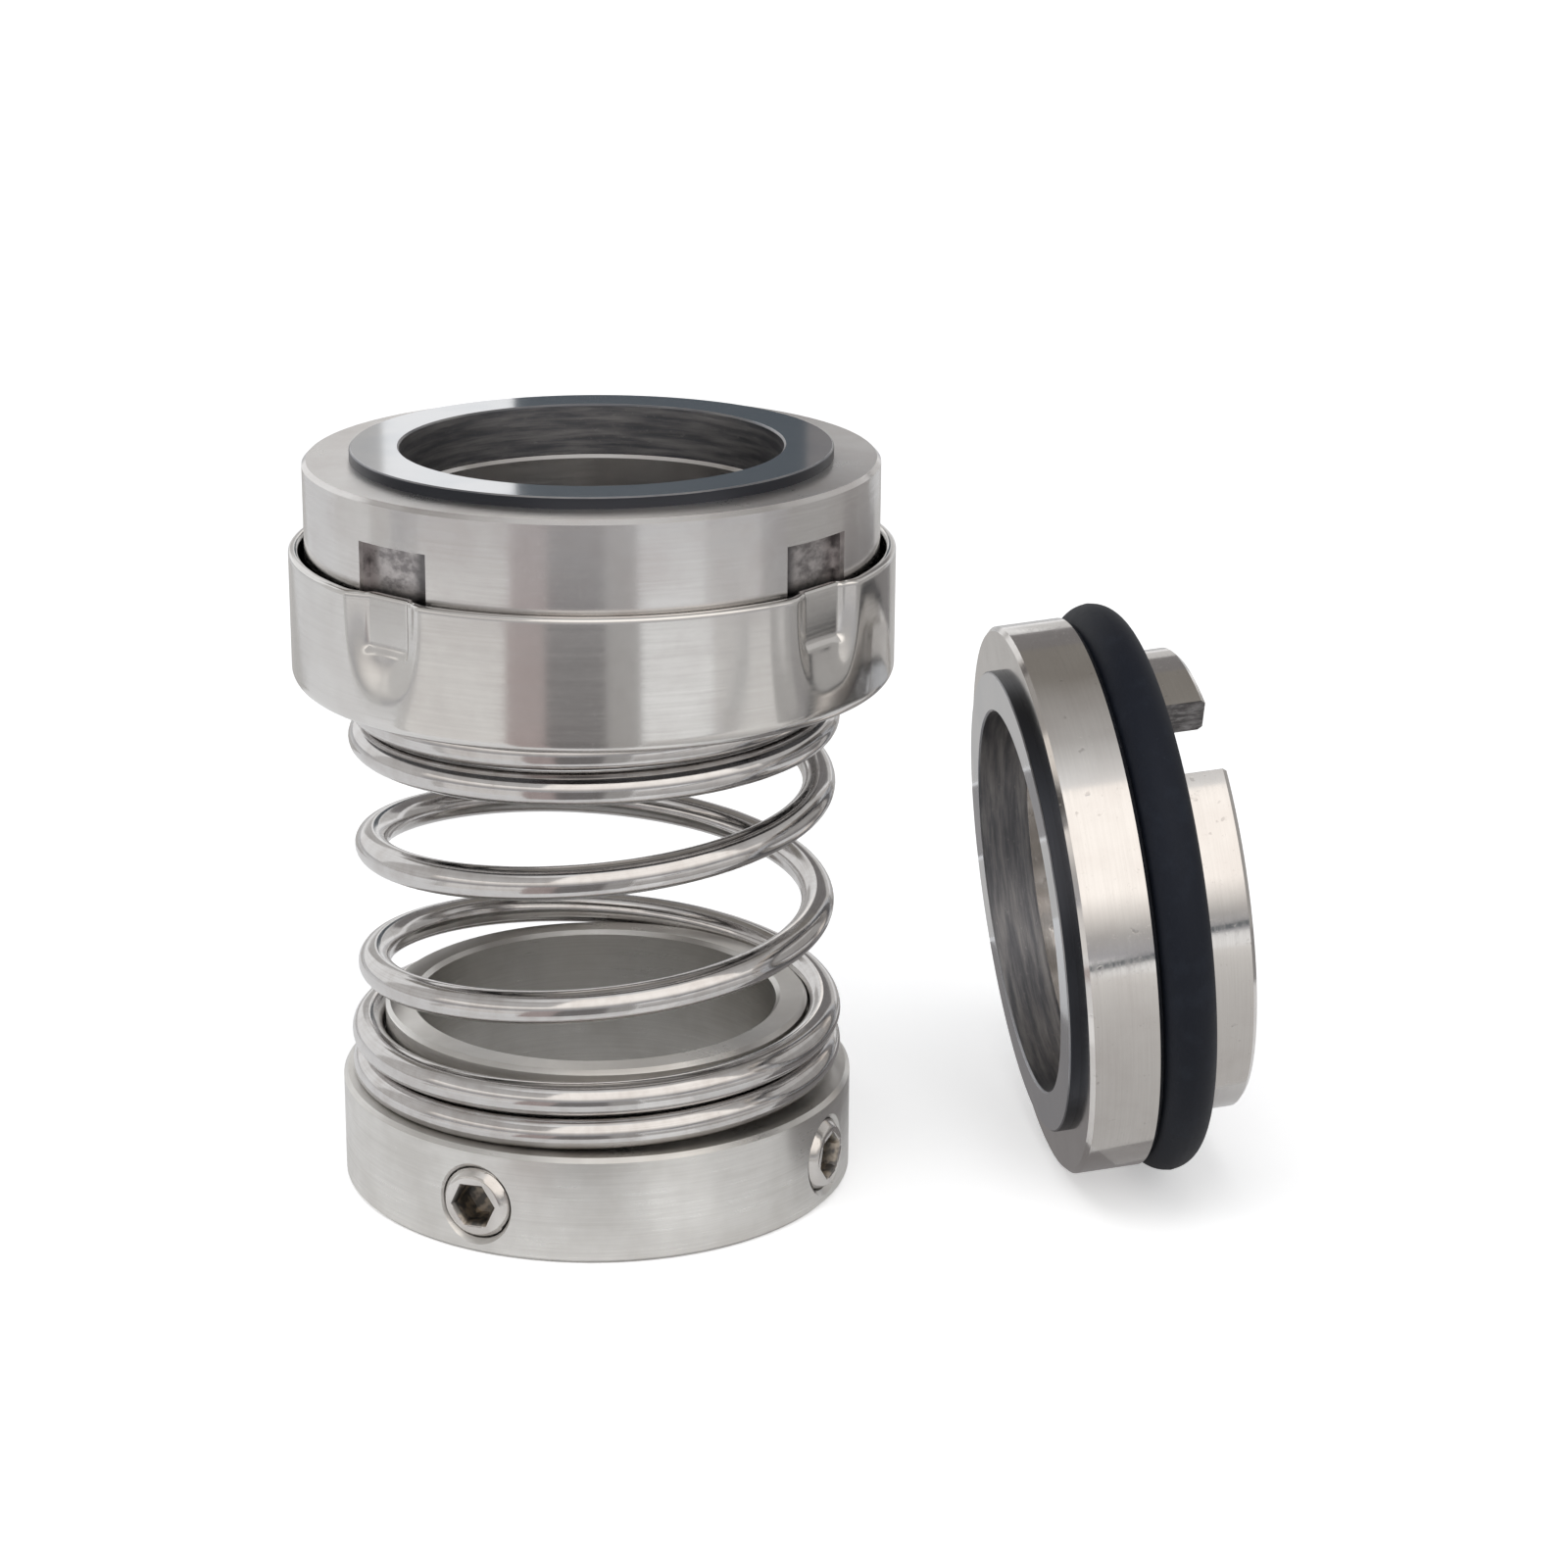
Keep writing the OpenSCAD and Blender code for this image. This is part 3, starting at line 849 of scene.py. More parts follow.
@dataclass
class DriveCollar:
    """Turned collar that clamps on the shaft, with its two set screws. Sizes in millimetres."""

    radius: float = 21.22
    screw_rise: float = 4.25
    screw_angle: float = -26.0
    screw_spread: float = 90.0
    screw_sides: int = 96
    screw_d: float = 6.0
    screw_l: float = 5.0
    screw_proud: float = 0.3
    pitch: float = 1.0
    thread_depth: float = 0.61
    thread_rows: int = 12
    thread_swing: float = 1.25
    thread_crest: float = 0.12
    cup_lip: float = 0.05
    socket_reach: float = 0.68
    hex_af: float = 3.0
    hex_depth: float = 2.4
    hex_break: float = 0.35
    hex_turns: tuple[float, ...] = (12.0, 5.0)
    edge: float = 0.04
    steel: TurnedSteel = TurnedSteel(
        "collar_satin", (0.72, 0.71, 0.69), (0.58, 0.565, 0.54), gloss=0.26, gloss_spread=0.1, ring_pitch=0.1,
        ring_depth=0.0025, stretch=0.5, marks=(Streaks(0.2),))
    bright: TurnedSteel = TurnedSteel(
        "screw_bright", (0.70, 0.68, 0.66), (0.46, 0.43, 0.40), gloss=0.14, ring_depth=0.0015,
        marks=(Socket(), Pits(0.3)))

    def thread(self, turn: np.ndarray, z: float, low: float, high: float) -> np.ndarray:
        """Radii of a screw's thread at one height.

        Args:
            turn: Angles round the screw.
            z: The height.
            low: Height at which the thread starts.
            high: Height at which it ends.

        Returns:
            The crest less the depth times a triangle wave of the height less the turn, which is cut flat at the crest
            and at the root, and fades out at both ends.
        """
        phase = (z / self.pitch - turn / TURN) % 1.0
        wave = np.clip(np.abs(2.0 * phase - 1.0) * self.thread_swing - self.thread_crest, 0.0, 1.0)
        fade = min(1.0, (z - low) / 0.5 + 0.25, (high - z) / 0.4 + 0.1)
        crest = self.screw_d / 2 - self.edge / 2
        return crest - self.thread_depth * self.pitch * fade * wave

    def profile(self, turn: np.ndarray, outer: float) -> np.ndarray:
        """Works out a screw that points along Z.

        Args:
            turn: Angles round the screw.
            outer: Height of its end face.

        Returns:
            Rings of points that run from the cup point over the thread and the end face to the socket's floor. Each
            is round, threaded, or a hexagon, whose radius is half its width over the cosine of the angle from the
            middle of the nearest side.
        """
        inner, cup, lead = outer - self.screw_l, self.screw_d / 5, self.screw_d / 10
        neck, low, high = self.screw_d / 2 - lead, inner + lead, outer - lead
        flat = self.hex_af / 2
        hexagon = flat / np.cos((turn + TURN / 12) % (TURN / 6) - TURN / 12)
        floor, mouth = outer - self.hex_depth, hexagon * (1.0 + 0.4 * self.hex_break)
        rings = [(0.0, inner + cup / 2), (cup * 0.92, inner + self.cup_lip), (cup, inner), (neck - 0.1, inner)]
        rings += [(self.thread(turn, z, low, high), z) for z in np.arange(low, high, self.pitch / self.thread_rows)]
        rings += [
            (neck + 0.2, outer - 0.22), (neck + self.edge, outer - self.edge), (neck - 0.06, outer),
            (mouth + 0.05, outer), (mouth, outer - self.edge), (hexagon, outer - self.hex_break),
            (hexagon, floor), (flat * 0.96, floor), (0.0, floor - self.hex_af / 6)]
        return np.stack([round_z(radius, turn, z) for radius, z in rings])

    def screw(self, index: int) -> bpy.types.Object:
        """Makes a socket set screw.

        Args:
            index: Which screw, from 0.

        Returns:
            The screw. Its profile is turned by its key's angle about its own axis, and laid along the way that it
            points out of the collar.
        """
        turn = np.arange(self.screw_sides) / self.screw_sides * TURN
        outer = self.radius + self.screw_proud
        points = self.profile(turn, outer)
        key = math.radians(self.hex_turns[index])
        down = points[..., 0] * math.cos(key) - points[..., 1] * math.sin(key)
        across = points[..., 0] * math.sin(key) + points[..., 1] * math.cos(key)
        way = math.radians(self.screw_angle - self.screw_spread * index)
        x = points[..., 2] * math.cos(way) - across * math.sin(way)
        y = points[..., 2] * math.sin(way) + across * math.cos(way)
        placed = np.stack([x, y, self.screw_rise - down], axis=-1)
        piece = surface(f"threaded_set_screw_{index + 1}", placed, around=False, crease=40.0)
        self.mark_socket(piece.data, np.array([math.cos(way), math.sin(way), 0.0]), outer)
        return piece

    def mark_socket(self, mesh: bpy.types.Mesh, axis: np.ndarray, outer: float) -> None:
        """Gives a screw a UV map whose U is 1 on the socket's walls and floor, and 0 elsewhere.

        Args:
            mesh: The finished screw mesh.
            axis: Direction of the screw, from the shaft outwards.
            outer: Distance of its end face from the shaft axis.
        """
        place = places(mesh) - np.array([0.0, 0.0, self.screw_rise])
        along = place @ axis
        away = np.linalg.norm(place - along[:, None] * axis, axis=1)
        floor = outer - self.hex_depth - self.hex_af / 5
        inside = (away < self.hex_af * self.socket_reach) & (along < outer - self.edge / 4) & (along > floor)
        map_uv(mesh, "socket", inside, np.zeros_like(inside))

    def build(self) -> list[bpy.types.Object]:
        """Dresses the collar and replaces its screws.

        Returns:
            The collar and the screws.
        """
        pieces = [dress("drive_collar", self.steel.material())]
        steel = self.bright.material()
        for index in range(len(self.hex_turns)):
            screw = self.screw(index)
            swap_in(screw, steel, f"screw_{index + 1}", f"set_screw_{index + 1}")
            pieces.append(screw)
        return pieces


@dataclass
class Spring:
    """Right-hand compression spring with closed and ground ends. Sizes in millimetres."""

    wire_d: float = 2.7
    foot: float = 9.0
    length: float = 34.1
    turns: float = 6.0
    dead_turns: float = 1.86
    closed_gap: float = 0.15
    bottom_r: float = 19.05
    free_r: float = 18.4
    top_r: float = 18.7
    ramp_turns: float = 0.5
    tip_angle: float = 90.0
    travel: float = 10.0
    turn_steps: int = 120
    wire_sides: int = 32
    wire: SpringWire = SpringWire("spring_polished", (0.62, 0.61, 0.605), (0.49, 0.465, 0.45), gloss=0.09)

    def ramp(self, turns: np.ndarray, centre: float) -> np.ndarray:
        """Share of a ramp that is past at a number of turns from the nearer tip."""
        return np.clip((turns - centre) / self.ramp_turns + 0.5, 0.0, 1.0)

    def rise(self, turns: np.ndarray) -> np.ndarray:
        """Height of the wire's centre line.

        Args:
            turns: Turns from the bottom tip.

        Returns:
            The closed pitch times the turns, plus the free rise times the ramp added up over the turns. The upper
            half is the lower half turned end for end.
        """
        closed = self.wire_d + self.closed_gap
        free = (self.length - self.turns * closed) / (self.turns - 2 * self.dead_turns)

        def lower(t: np.ndarray) -> np.ndarray:
            """Height over the foot for the lower half.

            Args:
                t: Turns from the bottom tip.

            Returns:
                The height, whose ramp adds up as half its length times its share squared.
            """
            s = self.ramp(t, self.dead_turns)
            past = np.where(s < 1.0, self.ramp_turns * s * s / 2, t - self.dead_turns)
            return closed * t + free * past

        upper = self.length - lower(self.turns - turns)
        return self.foot + np.where(turns <= self.turns / 2, lower(turns), upper)

    def mesh(self) -> bpy.types.Object:
        """Carries a round section along the coil and cuts it flat where the ends are ground.

        Returns:
            The spring. A point lies at the coil radius plus the wire radius times the cosine of the section angle,
            and at the centre line's height plus the wire radius times its sine, kept between the ground planes. At
            each tip the section comes once more with no size, which closes the wire.
        """
        steps = int(self.turns * self.turn_steps) + 1
        section = np.arange(self.wire_sides) / self.wire_sides * TURN
        t = np.pad(np.linspace(0.0, self.turns, steps), 1, mode="edge")
        size = self.wire_d / 2 * np.pad(np.ones(steps), 1)[:, None]
        centre = self.dead_turns + self.ramp_turns / 4
        low, high = 1 - self.ramp(t, centre), 1 - self.ramp(self.turns - t, centre)
        coil = self.free_r + (self.bottom_r - self.free_r) * low + (self.top_r - self.free_r) * high
        height = self.rise(t)[:, None] + size * np.sin(section)
        height = np.clip(height, self.foot, self.foot + self.length)
        way = (math.radians(self.tip_angle) + TURN * t)[:, None]
        points = round_z(coil[:, None] + size * np.cos(section), way, height)
        spring = surface("coil_spring", points, around=False, crease=50.0)
        self.map_wire(spring.data)
        return spring

    def map_wire(self, mesh: bpy.types.Mesh) -> None:
        """Gives the wire a UV map: turns along it, and the share of the way round its section.

        Args:
            mesh: The finished spring mesh. Each vertex's turn is found from its angle and height.
        """
        x, y, z = places(mesh).T
        start = ((np.arctan2(y, x) - math.radians(self.tip_angle)) / TURN) % 1.0
        laps = start[:, None] + np.arange(int(self.turns) + 1)[None, :]
        gaps = np.abs(self.rise(np.clip(laps, 0, self.turns)) - z[:, None])
        turns = laps[np.arange(len(laps)), gaps.argmin(axis=1)]
        rise = z - self.rise(np.clip(turns, 0, self.turns))
        map_uv(mesh, "wire", turns, np.arctan2(rise, np.hypot(x, y) - self.free_r) / TURN)

    def build(self) -> list[bpy.types.Object]:
        """Makes the spring, which moves with the collar.

        Returns:
            The spring.
        """
        spring = self.mesh()
        swap_in(spring, self.wire.material(), "collar", "spring")
        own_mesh(spring)
        return [spring]


@dataclass
class DriveShell:
    """Thin pressed cup with four drive dimples, and the hidden seal parts in it. Sizes in millimetres."""

    floor_z: float = 43.1
    height: float = 10.7
    wall: float = 0.8
    radius: float = 24.37
    bend: float = 1.1
    bore_r: float = 15.45
    drives: int = 4
    drive_angle: float = -40.0
    flat_w: float = 4.4
    flat_h: float = 4.2
    flat_depth: float = 0.98
    dish_w: float = 7.6
    dish_h: float = 7.9
    dish_depth: float = 0.68
    dish_depth_in: float = 0.42
    dish_power: float = 2.6
    dish_rim: Span = (1.06, 0.6)
    flat_side: Span = (0.2, -0.12)
    flat_foot: Span = (0.5, -0.12)
    swell_w: float = 9.4
    swell_h: float = 9.8
    swell_power: float = 2.4
    ridge: tuple[float, float, float] = (0.045, 1.0, 0.17)
    ripple: tuple[float, float, float] = (0.012, 1.42, 0.12)
    press_in: Span = (2.2, 1.4)
    lip_rise: float = 0.7
    columns: int = 960
    wall_rows: int = 46
    arc_rows: int = 9
    steel: TurnedSteel = TurnedSteel(
        "shell_polished", (0.70, 0.69, 0.675), (0.62, 0.60, 0.585), gloss=0.12, gloss_spread=0.05, ring_pitch=0.2,
        ring_depth=0.0004, stretch=0.6, marks=(Streaks(0.07), PaintedUnderShade(43.1)))
    hidden: TurnedSteel = TurnedSteel(
        "thrust_ring_turned", (0.66, 0.65, 0.63), (0.52, 0.50, 0.48), gloss=0.25, ring_depth=0.002)
    rubber: Rubber = Rubber("shaft_o_ring_rubber", (0.022, 0.024, 0.030), (0.05, 0.05, 0.055))

    def press(self, turn: np.ndarray, z: np.ndarray, depth: np.ndarray) -> np.ndarray:
        """How far the wall is pressed in.

        Args:
            turn: Angles round the axis.
            z: Heights.
            depth: Depth of the dish, which is less on the wall's inner side, because the sheet thins there.

        Returns:
            A shallow dish that is round below, a deeper flat inside it, and a faint ridge and ripple that the press
            throws up round them. The dish, the ridge and the ripple depend on the distance from the rim's middle over
            a half width and a height, with both shares raised to a power. The ridge and the ripple are bell curves,
            given by their rise, their place and their spread. The flat is a plane, cut by steps across and down.
        """
        pitch = TURN / self.drives
        across = ((turn - math.radians(self.drive_angle) + pitch / 2) % pitch - pitch / 2) * self.radius
        side = np.abs(across)
        below = np.maximum(self.floor_z + self.height - z, 0.0)

        def reach(width: float, height: float, power: float) -> np.ndarray:
            """Distance from the rim's middle: 1 at half the width across and at the height below."""
            return ((side / (width / 2)) ** power + (below / height) ** power) ** (1 / power)

        dish = depth * smoothstep(reach(self.dish_w, self.dish_h, self.dish_power), *self.dish_rim)
        flat = self.flat_depth - across ** 2 / (2 * self.radius)
        inside = smoothstep(side - self.flat_w / 2, *self.flat_side) * smoothstep(below - self.flat_h, *self.flat_foot)
        swell = reach(self.swell_w, self.swell_h, self.swell_power)
        for rise, at, spread in (self.ridge, self.ripple):
            dish = dish - rise * np.exp(-(((swell - at) / spread) ** 2))
        return dish * (1 - inside) + flat * inside

    def section(self) -> np.ndarray:
        """Works out the cup's closed half section.

        Returns:
            Rows of radius and height: the floor's underside, the bend, the wall, the rounded rim, and back inside.
        """
        lip, lip_rise = self.wall / 2, self.wall / 2 * self.lip_rise
        bend, bend_in = (self.radius - self.bend, self.floor_z + self.bend), self.bend - self.wall
        top = self.floor_z + self.height - lip_rise

        def arc(middle: tuple[float, float], radius: float, rise: float, ends: Span) -> np.ndarray:
            """An arc of an ellipse.

            Args:
                middle: Radius and height of its middle.
                radius: Its reach away from the axis.
                rise: Its reach upwards.
                ends: Angles in degrees at which it starts and ends.

            Returns:
                The middle plus the reach times the cosine, and plus the rise times the sine, of evenly spread angles.
            """
            angles = np.radians(np.linspace(*ends, self.arc_rows))
            return np.stack([middle[0] + radius * np.cos(angles), middle[1] + rise * np.sin(angles)], axis=-1)

        heights = np.linspace(bend[1], top, self.wall_rows)[1:]
        outer = np.stack([np.full_like(heights, self.radius), heights], axis=-1)
        inner = outer - (self.wall, 0.0)
        return np.concatenate([
            [(self.bore_r, self.floor_z)], arc(bend, self.bend, self.bend, (-90.0, 0.0)), outer,
            arc((self.radius - lip, top), lip, lip_rise, (0.0, 180.0))[1:-1], inner[::-1],
            arc(bend, bend_in, bend_in, (0.0, -90.0)),
            [(self.bore_r, self.floor_z + self.wall)]])

    def mesh(self) -> bpy.types.Object:
        """Makes the cup.

        Returns:
            The cup. Its half section is turned round the axis, and its wall's radius is then lessened by the press at
            each angle and height, inside and outside alike.
        """
        turn = np.arange(self.columns) / self.columns * TURN
        r, z = np.split(self.section(), 2, axis=1)
        pressed = smoothstep(r, *(self.radius - step for step in self.press_in))
        depth = np.where(r > self.radius - self.wall / 2, self.dish_depth, self.dish_depth_in)
        radii = r - self.press(turn[None, :], z, depth) * pressed
        return surface("pressed_shell", round_z(radii, turn, z), crease=60.0)

    def build(self) -> list[bpy.types.Object]:
        """Makes the cup and dresses what lies in it.

        Returns:
            The cup, the thrust ring and the shaft O-ring.
        """
        shell = self.mesh()
        swap_in(shell, self.steel.material(), "shell", "drive_shell")
        return [shell, dress("thrust_ring", self.hidden.material()), dress("shaft_o_ring", self.rubber.material())]


@dataclass
class RotaryRing:
    """Carrier with its four drive pockets and the lapped face ring shrunk into it. Sizes in millimetres."""

    face_z: float = 61.8
    steel: TurnedSteel = TurnedSteel(
        "carrier_ground", (0.71, 0.70, 0.69), (0.61, 0.58, 0.57), gloss=0.13, gloss_spread=0.06, ring_pitch=0.12,
        ring_depth=0.0009, stretch=0.6, marks=(Streaks(0.1), DullTop(60.9), Pockets(47.4, 57.6, 21.0, 22.7)))

    def build(self) -> list[bpy.types.Object]:
        """Dresses the carrier and its face ring."""
        carbide = Carbide("rotary_face_lapped", self.face_z)
        return [dress("ring_carrier", self.steel.material()), dress("rotary_face_ring", carbide.material())]


@dataclass
class StationarySeat:
    """Seat that stands on its rim: steel body, lapped face ring, and O-ring. Sizes in millimetres, in its own frame."""

    cord: float = 4.5
    cord_r: float = 21.55
    cord_z: float = 8.15
    flash: float = 0.03
    flash_spread: float = 0.07
    cord_steps: int = 256
    cord_sides: int = 64
    face_z: float = -0.9
    steel: TurnedSteel = TurnedSteel(
        "seat_turned", (0.71, 0.69, 0.67), (0.63, 0.60, 0.58), gloss=0.07, gloss_spread=0.05, ring_pitch=0.12,
        ring_depth=0.0008, axis=SEAT_AXIS, marks=(Streaks(0.12), Pits(0.35), Slot(-146.0, 3.5, 9.55)))
    rubber: Rubber = Rubber("seat_o_ring_rubber", (0.006, 0.008, 0.014), (0.014, 0.018, 0.027), axis=SEAT_AXIS)

    def o_ring(self) -> bpy.types.Object:
        """Makes the seat's O-ring.

        Returns:
            A torus whose section has a fine flash line on its inner and outer side: a bell curve of the sine of the
            section angle stands there, and the rest lies under the cord's size by as much.
        """
        turn = (np.arange(self.cord_steps) / self.cord_steps * TURN)[:, None]
        section = np.arange(self.cord_sides) / self.cord_sides * TURN
        line = self.flash * np.exp(-((np.sin(section) / self.flash_spread) ** 2))
        r = self.cord / 2 - self.flash + line
        points = round_z(self.cord_r + r * np.cos(section), turn, self.cord_z + r * np.sin(section))
        return surface("seat_o_ring_moulded", at_seat(points), crease=70.0)

    def build(self) -> list[bpy.types.Object]:
        """Dresses the steel body and its face ring, and makes the O-ring.

        Returns:
            The body, the face ring and the O-ring.
        """
        carbide = Carbide("seat_face_lapped", self.face_z, facing=-1.0, axis=SEAT_AXIS)
        cord = self.o_ring()
        swap_in(cord, self.rubber.material(), "stationary_seat", "seat_o_ring")
        return [dress("seat_ring", self.steel.material()), dress("seat_face_ring", carbide.material()), cord]


def dress(node: str, material: bpy.types.Material) -> bpy.types.Object:
    """Gives a solid of the frame its finish.

    Args:
        node: Name of the solid.
        material: Its finish, put into each of its material slots.

    Returns:
        The solid's object.
    """
    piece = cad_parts[node]
    for place in piece.material_slots:
        place.material = material
    return piece


def swap_in(piece: bpy.types.Object, material: bpy.types.Material, body: str, node: str) -> None:
    """Gives a new piece its finish and its body, and hides the solid that it stands for.

    Args:
        piece: The new piece.
        material: Its finish.
        body: Body that it moves with.
        node: Solid that it replaces.
    """
    piece.data.materials.append(material)
    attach(piece, body)
    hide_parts(node)


# Studio

class Tint(Enum):
    """Tones of what polished steel mirrors round the object."""

    GLARE = (1.42, 1.36, 1.30)
    WHITE = (1.0, 1.0, 1.0)
    LIGHT = (0.88, 0.86, 0.84)
    PALE = (0.67, 0.66, 0.65)
    HALF = (0.53, 0.52, 0.51)
    PINK = (0.49, 0.42, 0.41)
    BLUE = (0.46, 0.46, 0.49)
    MIDDLE = (0.45, 0.44, 0.43)
    SHADE = (0.32, 0.31, 0.31)
    WARM = (0.27, 0.255, 0.235)
    DARK = (0.24, 0.23, 0.23)
    NIGHT = (0.11, 0.125, 0.14)


@dataclass(frozen=True)
class Panel:
    """A studio panel in millimetres that only reflections show, in one tone or shaded from one to another.

    Its first edge has the tint, and its second edge the end, where that is given.
    """

    name: str
    tint: Tint
    edges: tuple[tuple[Point, ...], tuple[Point, ...]]
    end: Tint | None = None

    FLOOR_Z = 0.4
    CEILING_Z = 520
    CEILING_X = (-500, 500)
    BACK_Y = 600
    ARC_STEPS = 25

    @classmethod
    def floor(cls, name: str, tint: Tint, across: Span, deep: Span) -> "Panel":
        """A four-cornered panel that lies just over the floor, over a span of X and a span of Y."""
        return cls(name, tint, tuple(tuple((x, y, cls.FLOOR_Z) for x in across) for y in deep))

    @classmethod
    def ceiling(cls, name: str, tint: Tint, deep: Span, end: Tint | None = None) -> "Panel":
        """A panel that hangs over the object, over a span of Y."""
        return cls(name, tint, tuple(tuple((x, y, cls.CEILING_Z) for x in cls.CEILING_X) for y in deep), end)

    @classmethod
    def back(cls, name: str, tint: Tint, across: Span, heights: Span = (90, 225)) -> "Panel":
        """A panel that stands behind the object, over a span of X and a span of heights."""
        return cls(name, tint, tuple(tuple((x, cls.BACK_Y, z) for x in across) for z in heights))

    @classmethod
    def arc(cls, name: str, tint: Tint, way: Span, radii: Span = (40, 255),
            heights: Span = (FLOOR_Z, FLOOR_Z), end: Tint | None = None) -> "Panel":
        """A panel that bends round the shaft axis.

        Args:
            name: Name of the panel.
            tint: Its tone.
            way: Directions in degrees at which it starts and ends.
            radii: Radius of its first and of its second edge.
            heights: Height of its first and of its second edge.
            end: Its tone at the second edge, where that differs.

        Returns:
            The panel: a sector of the floor where the heights agree, and a wall where the radii agree.
        """
        angles = np.radians(np.linspace(*way, cls.ARC_STEPS))
        edges = tuple(tuple(map(tuple, round_z(r, angles, z).tolist())) for r, z in zip(radii, heights))
        return cls(name, tint, edges, end)

    def build(self) -> bpy.types.Object:
        """Makes the panel. It is met by glossy rays alone, and lights nothing.

        Returns:
            The panel, whose UV map has a V of 0 along its first edge and of 1 along its second.
        """
        first, second = self.edges
        count = len(first)
        points = [tuple(c * MM for c in corner) for corner in (*first, *second)]
        quads = [(i, i + 1, count + i + 1, count + i) for i in range(count - 1)]
        mesh = bpy.data.meshes.new(self.name)
        mesh.from_pydata(points, [], quads)
        map_uv(mesh, "share", np.zeros(2 * count), np.repeat([0.0, 1.0], count))
        mesh.materials.append(self.glow())
        panel = in_scene(self.name, mesh)
        panel.visible_camera = panel.visible_diffuse = panel.visible_transmission = False
        panel.visible_shadow = panel.visible_volume_scatter = False
        return panel

    def glow(self) -> bpy.types.Material:
        """Builds the panel's own light.

        Returns:
            A material that glows in the tint, or in a mix of the tint and the end by the UV map's V.
        """
        shade = Shade(self.name)
        shade.tree.nodes.remove(shade.shader)
        colour = (*self.tint.value, 1.0)
        if self.end:
            colour = shade.mix(shade.parts(shade.coordinates("UV"))[1], self.tint, self.end)
        shade.show(shade.out(shade.node("Emission", Color=colour), "Emission"))
        shade.material.cycles.emission_sampling = "NONE"
        return shade.material


@dataclass
class Studio:
    """Pale floor and backdrop, soft boxes, panels that polished steel mirrors, and the camera."""

    lens: float = 82.46
    sensor: float = 36.0
    camera_at: Point = (8.30, -281.2, 122.4)
    pitch: float = 17.59
    shift: float = 0.05625
    floor_reach: float = 6000.0
    floor_drop: float = 0.01
    fade: Span = (100.0, 700.0)
    panels: list[Panel] = field(default_factory=lambda: [
        Panel.arc("floor_flat_left", Tint.HALF, (-182, -163), (200, 255)),
        Panel.arc("floor_line", Tint.PALE, (-163, -157), (60, 255)),
        Panel.arc("floor_light", Tint.LIGHT, (-157, -119), (60, 255)),
        Panel.arc("floor_pink", Tint.PINK, (-119, -105)),
        Panel.arc("floor_dark", Tint.DARK, (-105, -84)),
        Panel.arc("floor_middle", Tint.MIDDLE, (-84, -72)),
        Panel.arc("floor_bright", Tint.WHITE, (-71, -46), (140, 255)),
        Panel.arc("floor_seat", Tint.HALF, (-71, -8), (44, 140), end=Tint.LIGHT),
        Panel.arc("floor_pale", Tint.LIGHT, (-46, -22), (140, 255), end=Tint.PALE),
        Panel.arc("floor_dim", Tint.MIDDLE, (-22, -15), (140, 255)),
        Panel.arc("floor_shade", Tint.SHADE, (-15, 25), (105, 200)),
        Panel.arc("floor_flat_right", Tint.MIDDLE, (-15, 25), (200, 255)),
        Panel.arc("floor_east", Tint.DARK, (25, 58), (105, 255)),
        Panel.arc("floor_north_east", Tint.HALF, (58, 78), (150, 255)),
        Panel.arc("horizon_low", Tint.BLUE, (-170, -10), (260, 260), (0.0, 38.0), end=Tint.HALF),
        Panel.arc("horizon_high", Tint.HALF, (-170, -10), (260, 260), (38.0, 110.0), end=Tint.GLARE),
        Panel.arc("horizon_left", Tint.PALE, (-205, -170), (260, 260), (0.0, 100.0)),
        Panel.arc("horizon_right", Tint.MIDDLE, (-10, 50), (260, 260), (0.0, 100.0)),
        Panel.arc("soft_box", Tint.GLARE, (-112, -22), (262, 262), (110, 500)),
        Panel.arc("wall_left", Tint.PALE, (-205, -112), (262, 262), (100, 340), end=Tint.HALF),
        Panel.arc("wall_right", Tint.PALE, (-22, 50), (262, 262), (100, 340), end=Tint.HALF),
        Panel.ceiling("ceiling_front", Tint.WHITE, (-245, -50), end=Tint.HALF),
        Panel.ceiling("ceiling_middle", Tint.HALF, (-50, 260), end=Tint.WARM),
        Panel.ceiling("ceiling_back", Tint.WARM, (260, 700)),
        Panel.arc("floor_near", Tint.WHITE, (-74, -54), (25, 44)),
        Panel.floor("floor_gap", Tint.DARK, (27, 48), (-12, 48)),
        Panel.floor("floor_behind_near", Tint.HALF, (8, 48), (49, 70)),
        Panel.floor("floor_behind", Tint.SHADE, (-10, 60), (71, 92)),
        Panel.floor("floor_back", Tint.HALF, (-120, 90), (93, 300)),
        Panel("dark_line", Tint.NIGHT, (((42, -75, 9.4), (80, -58, 28.4)), ((42, -75, 12.4), (80, -58, 31.4)))),
        Panel.back("back_left", Tint.HALF, (-220, -70)),
        Panel.back("back", Tint.NIGHT, (-37, 36)),
        Panel.back("back_edge", Tint.DARK, (36, 47)),
        Panel.back("back_right", Tint.PALE, (60, 400)),
        Panel.back("back_light", Tint.GLARE, (-58, 12), (235, 320)),
        Panel.back("back_high", Tint.DARK, (12, 400), (225, 480)),
    ])

    def world(self) -> None:
        """Sets the world: white to the camera and to reflections, and a plain level to everything else."""
        world = bpy.data.worlds.new("studio")
        bpy.context.scene.world = world
        world.use_nodes = True
        nodes = Nodes(world.node_tree)
        nodes.tree.nodes.clear()
        seen = nodes.ray("Glossy").maths("MAXIMUM", nodes.ray("Transmission"))
        seen = nodes.ray("Camera").maths("MAXIMUM", seen)
        plain = nodes.joined("Background", (0.98, 0.985, 1.0, 1.0), 0.5)
        white = nodes.joined("Background", (1.0, 1.0, 1.0, 1.0), 1.0)
        nodes.node("OutputWorld", Surface=nodes.joined("MixShader", seen, plain, white))

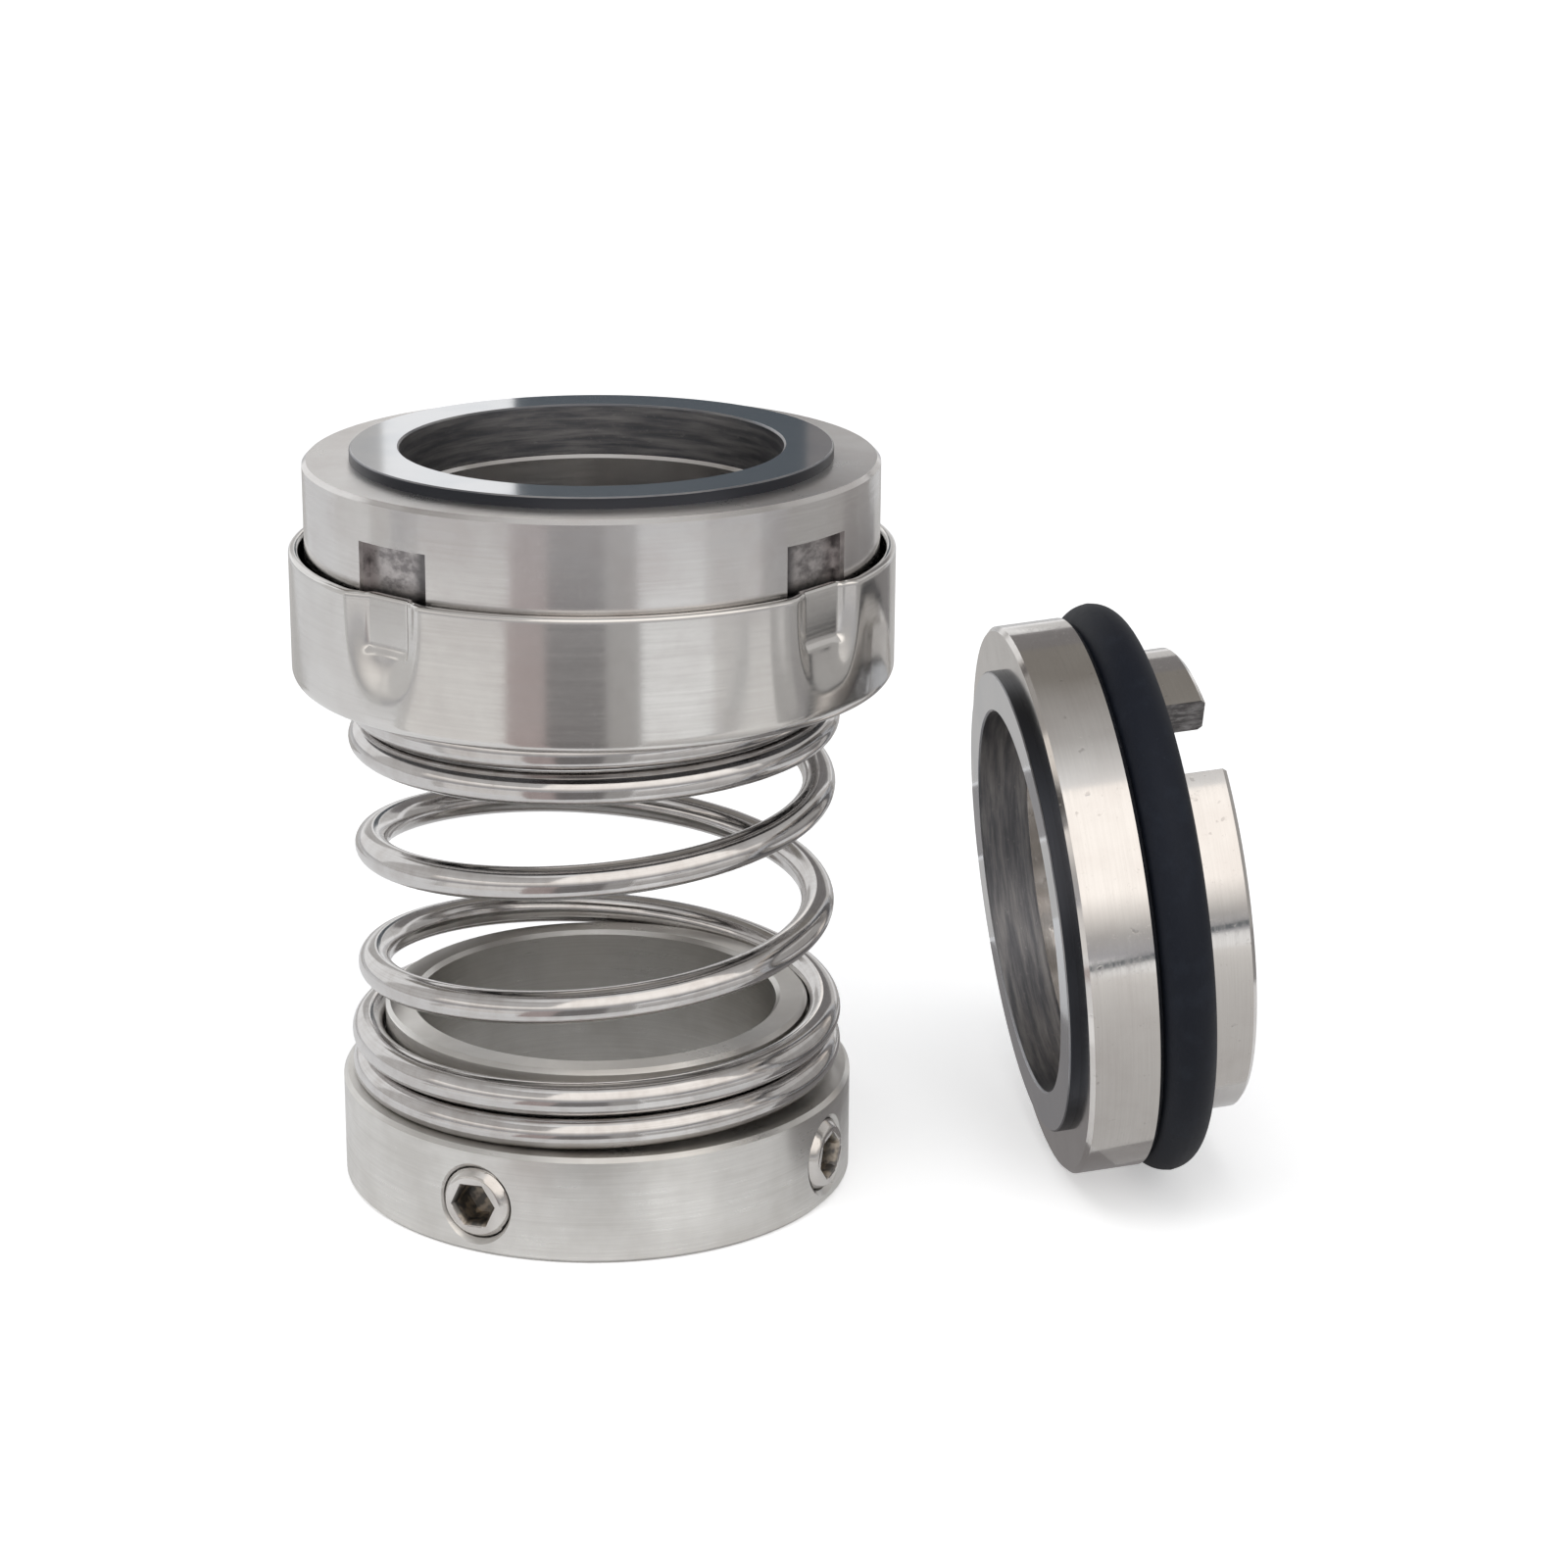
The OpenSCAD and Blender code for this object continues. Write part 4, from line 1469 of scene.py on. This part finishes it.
    def floor(self) -> None:
        """Lays the pale floor, which shows white to the camera and to reflections and keeps the object's shadow.

        Its glow to the camera rises with the distance from the shaft, so that the floor fades into the backdrop.
        """
        reach, z = self.floor_reach * MM, -self.floor_drop * MM
        mesh = bpy.data.meshes.new("floor")
        corners = [(x * reach, y * reach, z) for x, y in ((-1, -1), (1, -1), (1, 1), (-1, 1))]
        mesh.from_pydata(corners, [], [range(4)])
        shade = Shade("pale_floor")
        matt = shade.feed(Base_Color=(0.93, 0.93, 0.93, 1.0), Roughness=0.9, Specular_IOR_Level=0.1)
        away = shade.node("VectorMath", {"operation": "LENGTH"}, Vector=shade.coordinates("Object"))
        far = shade.out(away, "Value").step(*(distance * MM for distance in self.fade))
        seen = shade.ray("Camera") * (far * 0.4 + 0.42) + shade.ray("Glossy") * 0.05
        glow = shade.out(shade.node("Emission", Color=seen), "Emission")
        shade.show(shade.joined("AddShader", shade.out(shade.shader, "BSDF"), glow))
        mesh.materials.append(matt)
        in_scene("floor", mesh)

    def lamp(self, name: str, at: Point, towards: Point, size: Span, power: float) -> None:
        """Hangs a soft box that steel doesn't mirror.

        Args:
            name: Name of the lamp.
            at: Its centre in millimetres.
            towards: The point that it faces, in millimetres.
            size: Width and height in millimetres.
            power: Watts.
        """
        data = bpy.data.lights.new(name, "AREA")
        data.shape = "RECTANGLE"
        data.size, data.size_y = size[0] * MM, size[1] * MM
        data.energy = power
        lamp = in_scene(name, data)
        lamp.location = Vector(at) * MM
        lamp.rotation_euler = (Vector(towards) - Vector(at)).to_track_quat("-Z", "Y").to_euler()
        lamp.visible_glossy = False

    def camera(self) -> None:
        """Sets the camera at the photograph's viewing angle."""
        data = bpy.data.cameras.new("camera")
        data.lens, data.sensor_width, data.shift_x = self.lens, self.sensor, self.shift
        camera = in_scene("camera", data)
        camera.location = Vector(self.camera_at) * MM
        camera.rotation_euler = (math.radians(90.0 - self.pitch), 0.0, 0.0)
        bpy.context.scene.camera = camera

    def build(self) -> None:
        """Sets up everything round the object."""
        bpy.context.scene.view_settings.view_transform = "Standard"
        self.camera()
        self.world()
        self.floor()
        for panel in self.panels:
            panel.build()
        self.lamp("top_box", (-60, -200, 480), (10, 0, 20), (380, 240), 1.0)
        self.lamp("left_box", (-420, -160, 220), (0, 0, 30), (260, 260), 0.3)
        self.lamp("front_box", (190, -400, 270), (40, 0, 25), (250, 300), 0.3)


def main() -> None:
    """Builds the studio and each sub-assembly in order, and reports each piece."""
    logging.basicConfig(level=logging.INFO, format="%(name)s: %(message)s")
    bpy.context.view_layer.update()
    Studio().build()
    for part in (DriveCollar(), Spring(), DriveShell(), RotaryRing(), StationarySeat()):
        for piece in part.build():
            log.info("%s: %s, %d faces", type(part).__name__, piece.name, len(piece.data.polygons))


if __name__ == "__main__":
    main()
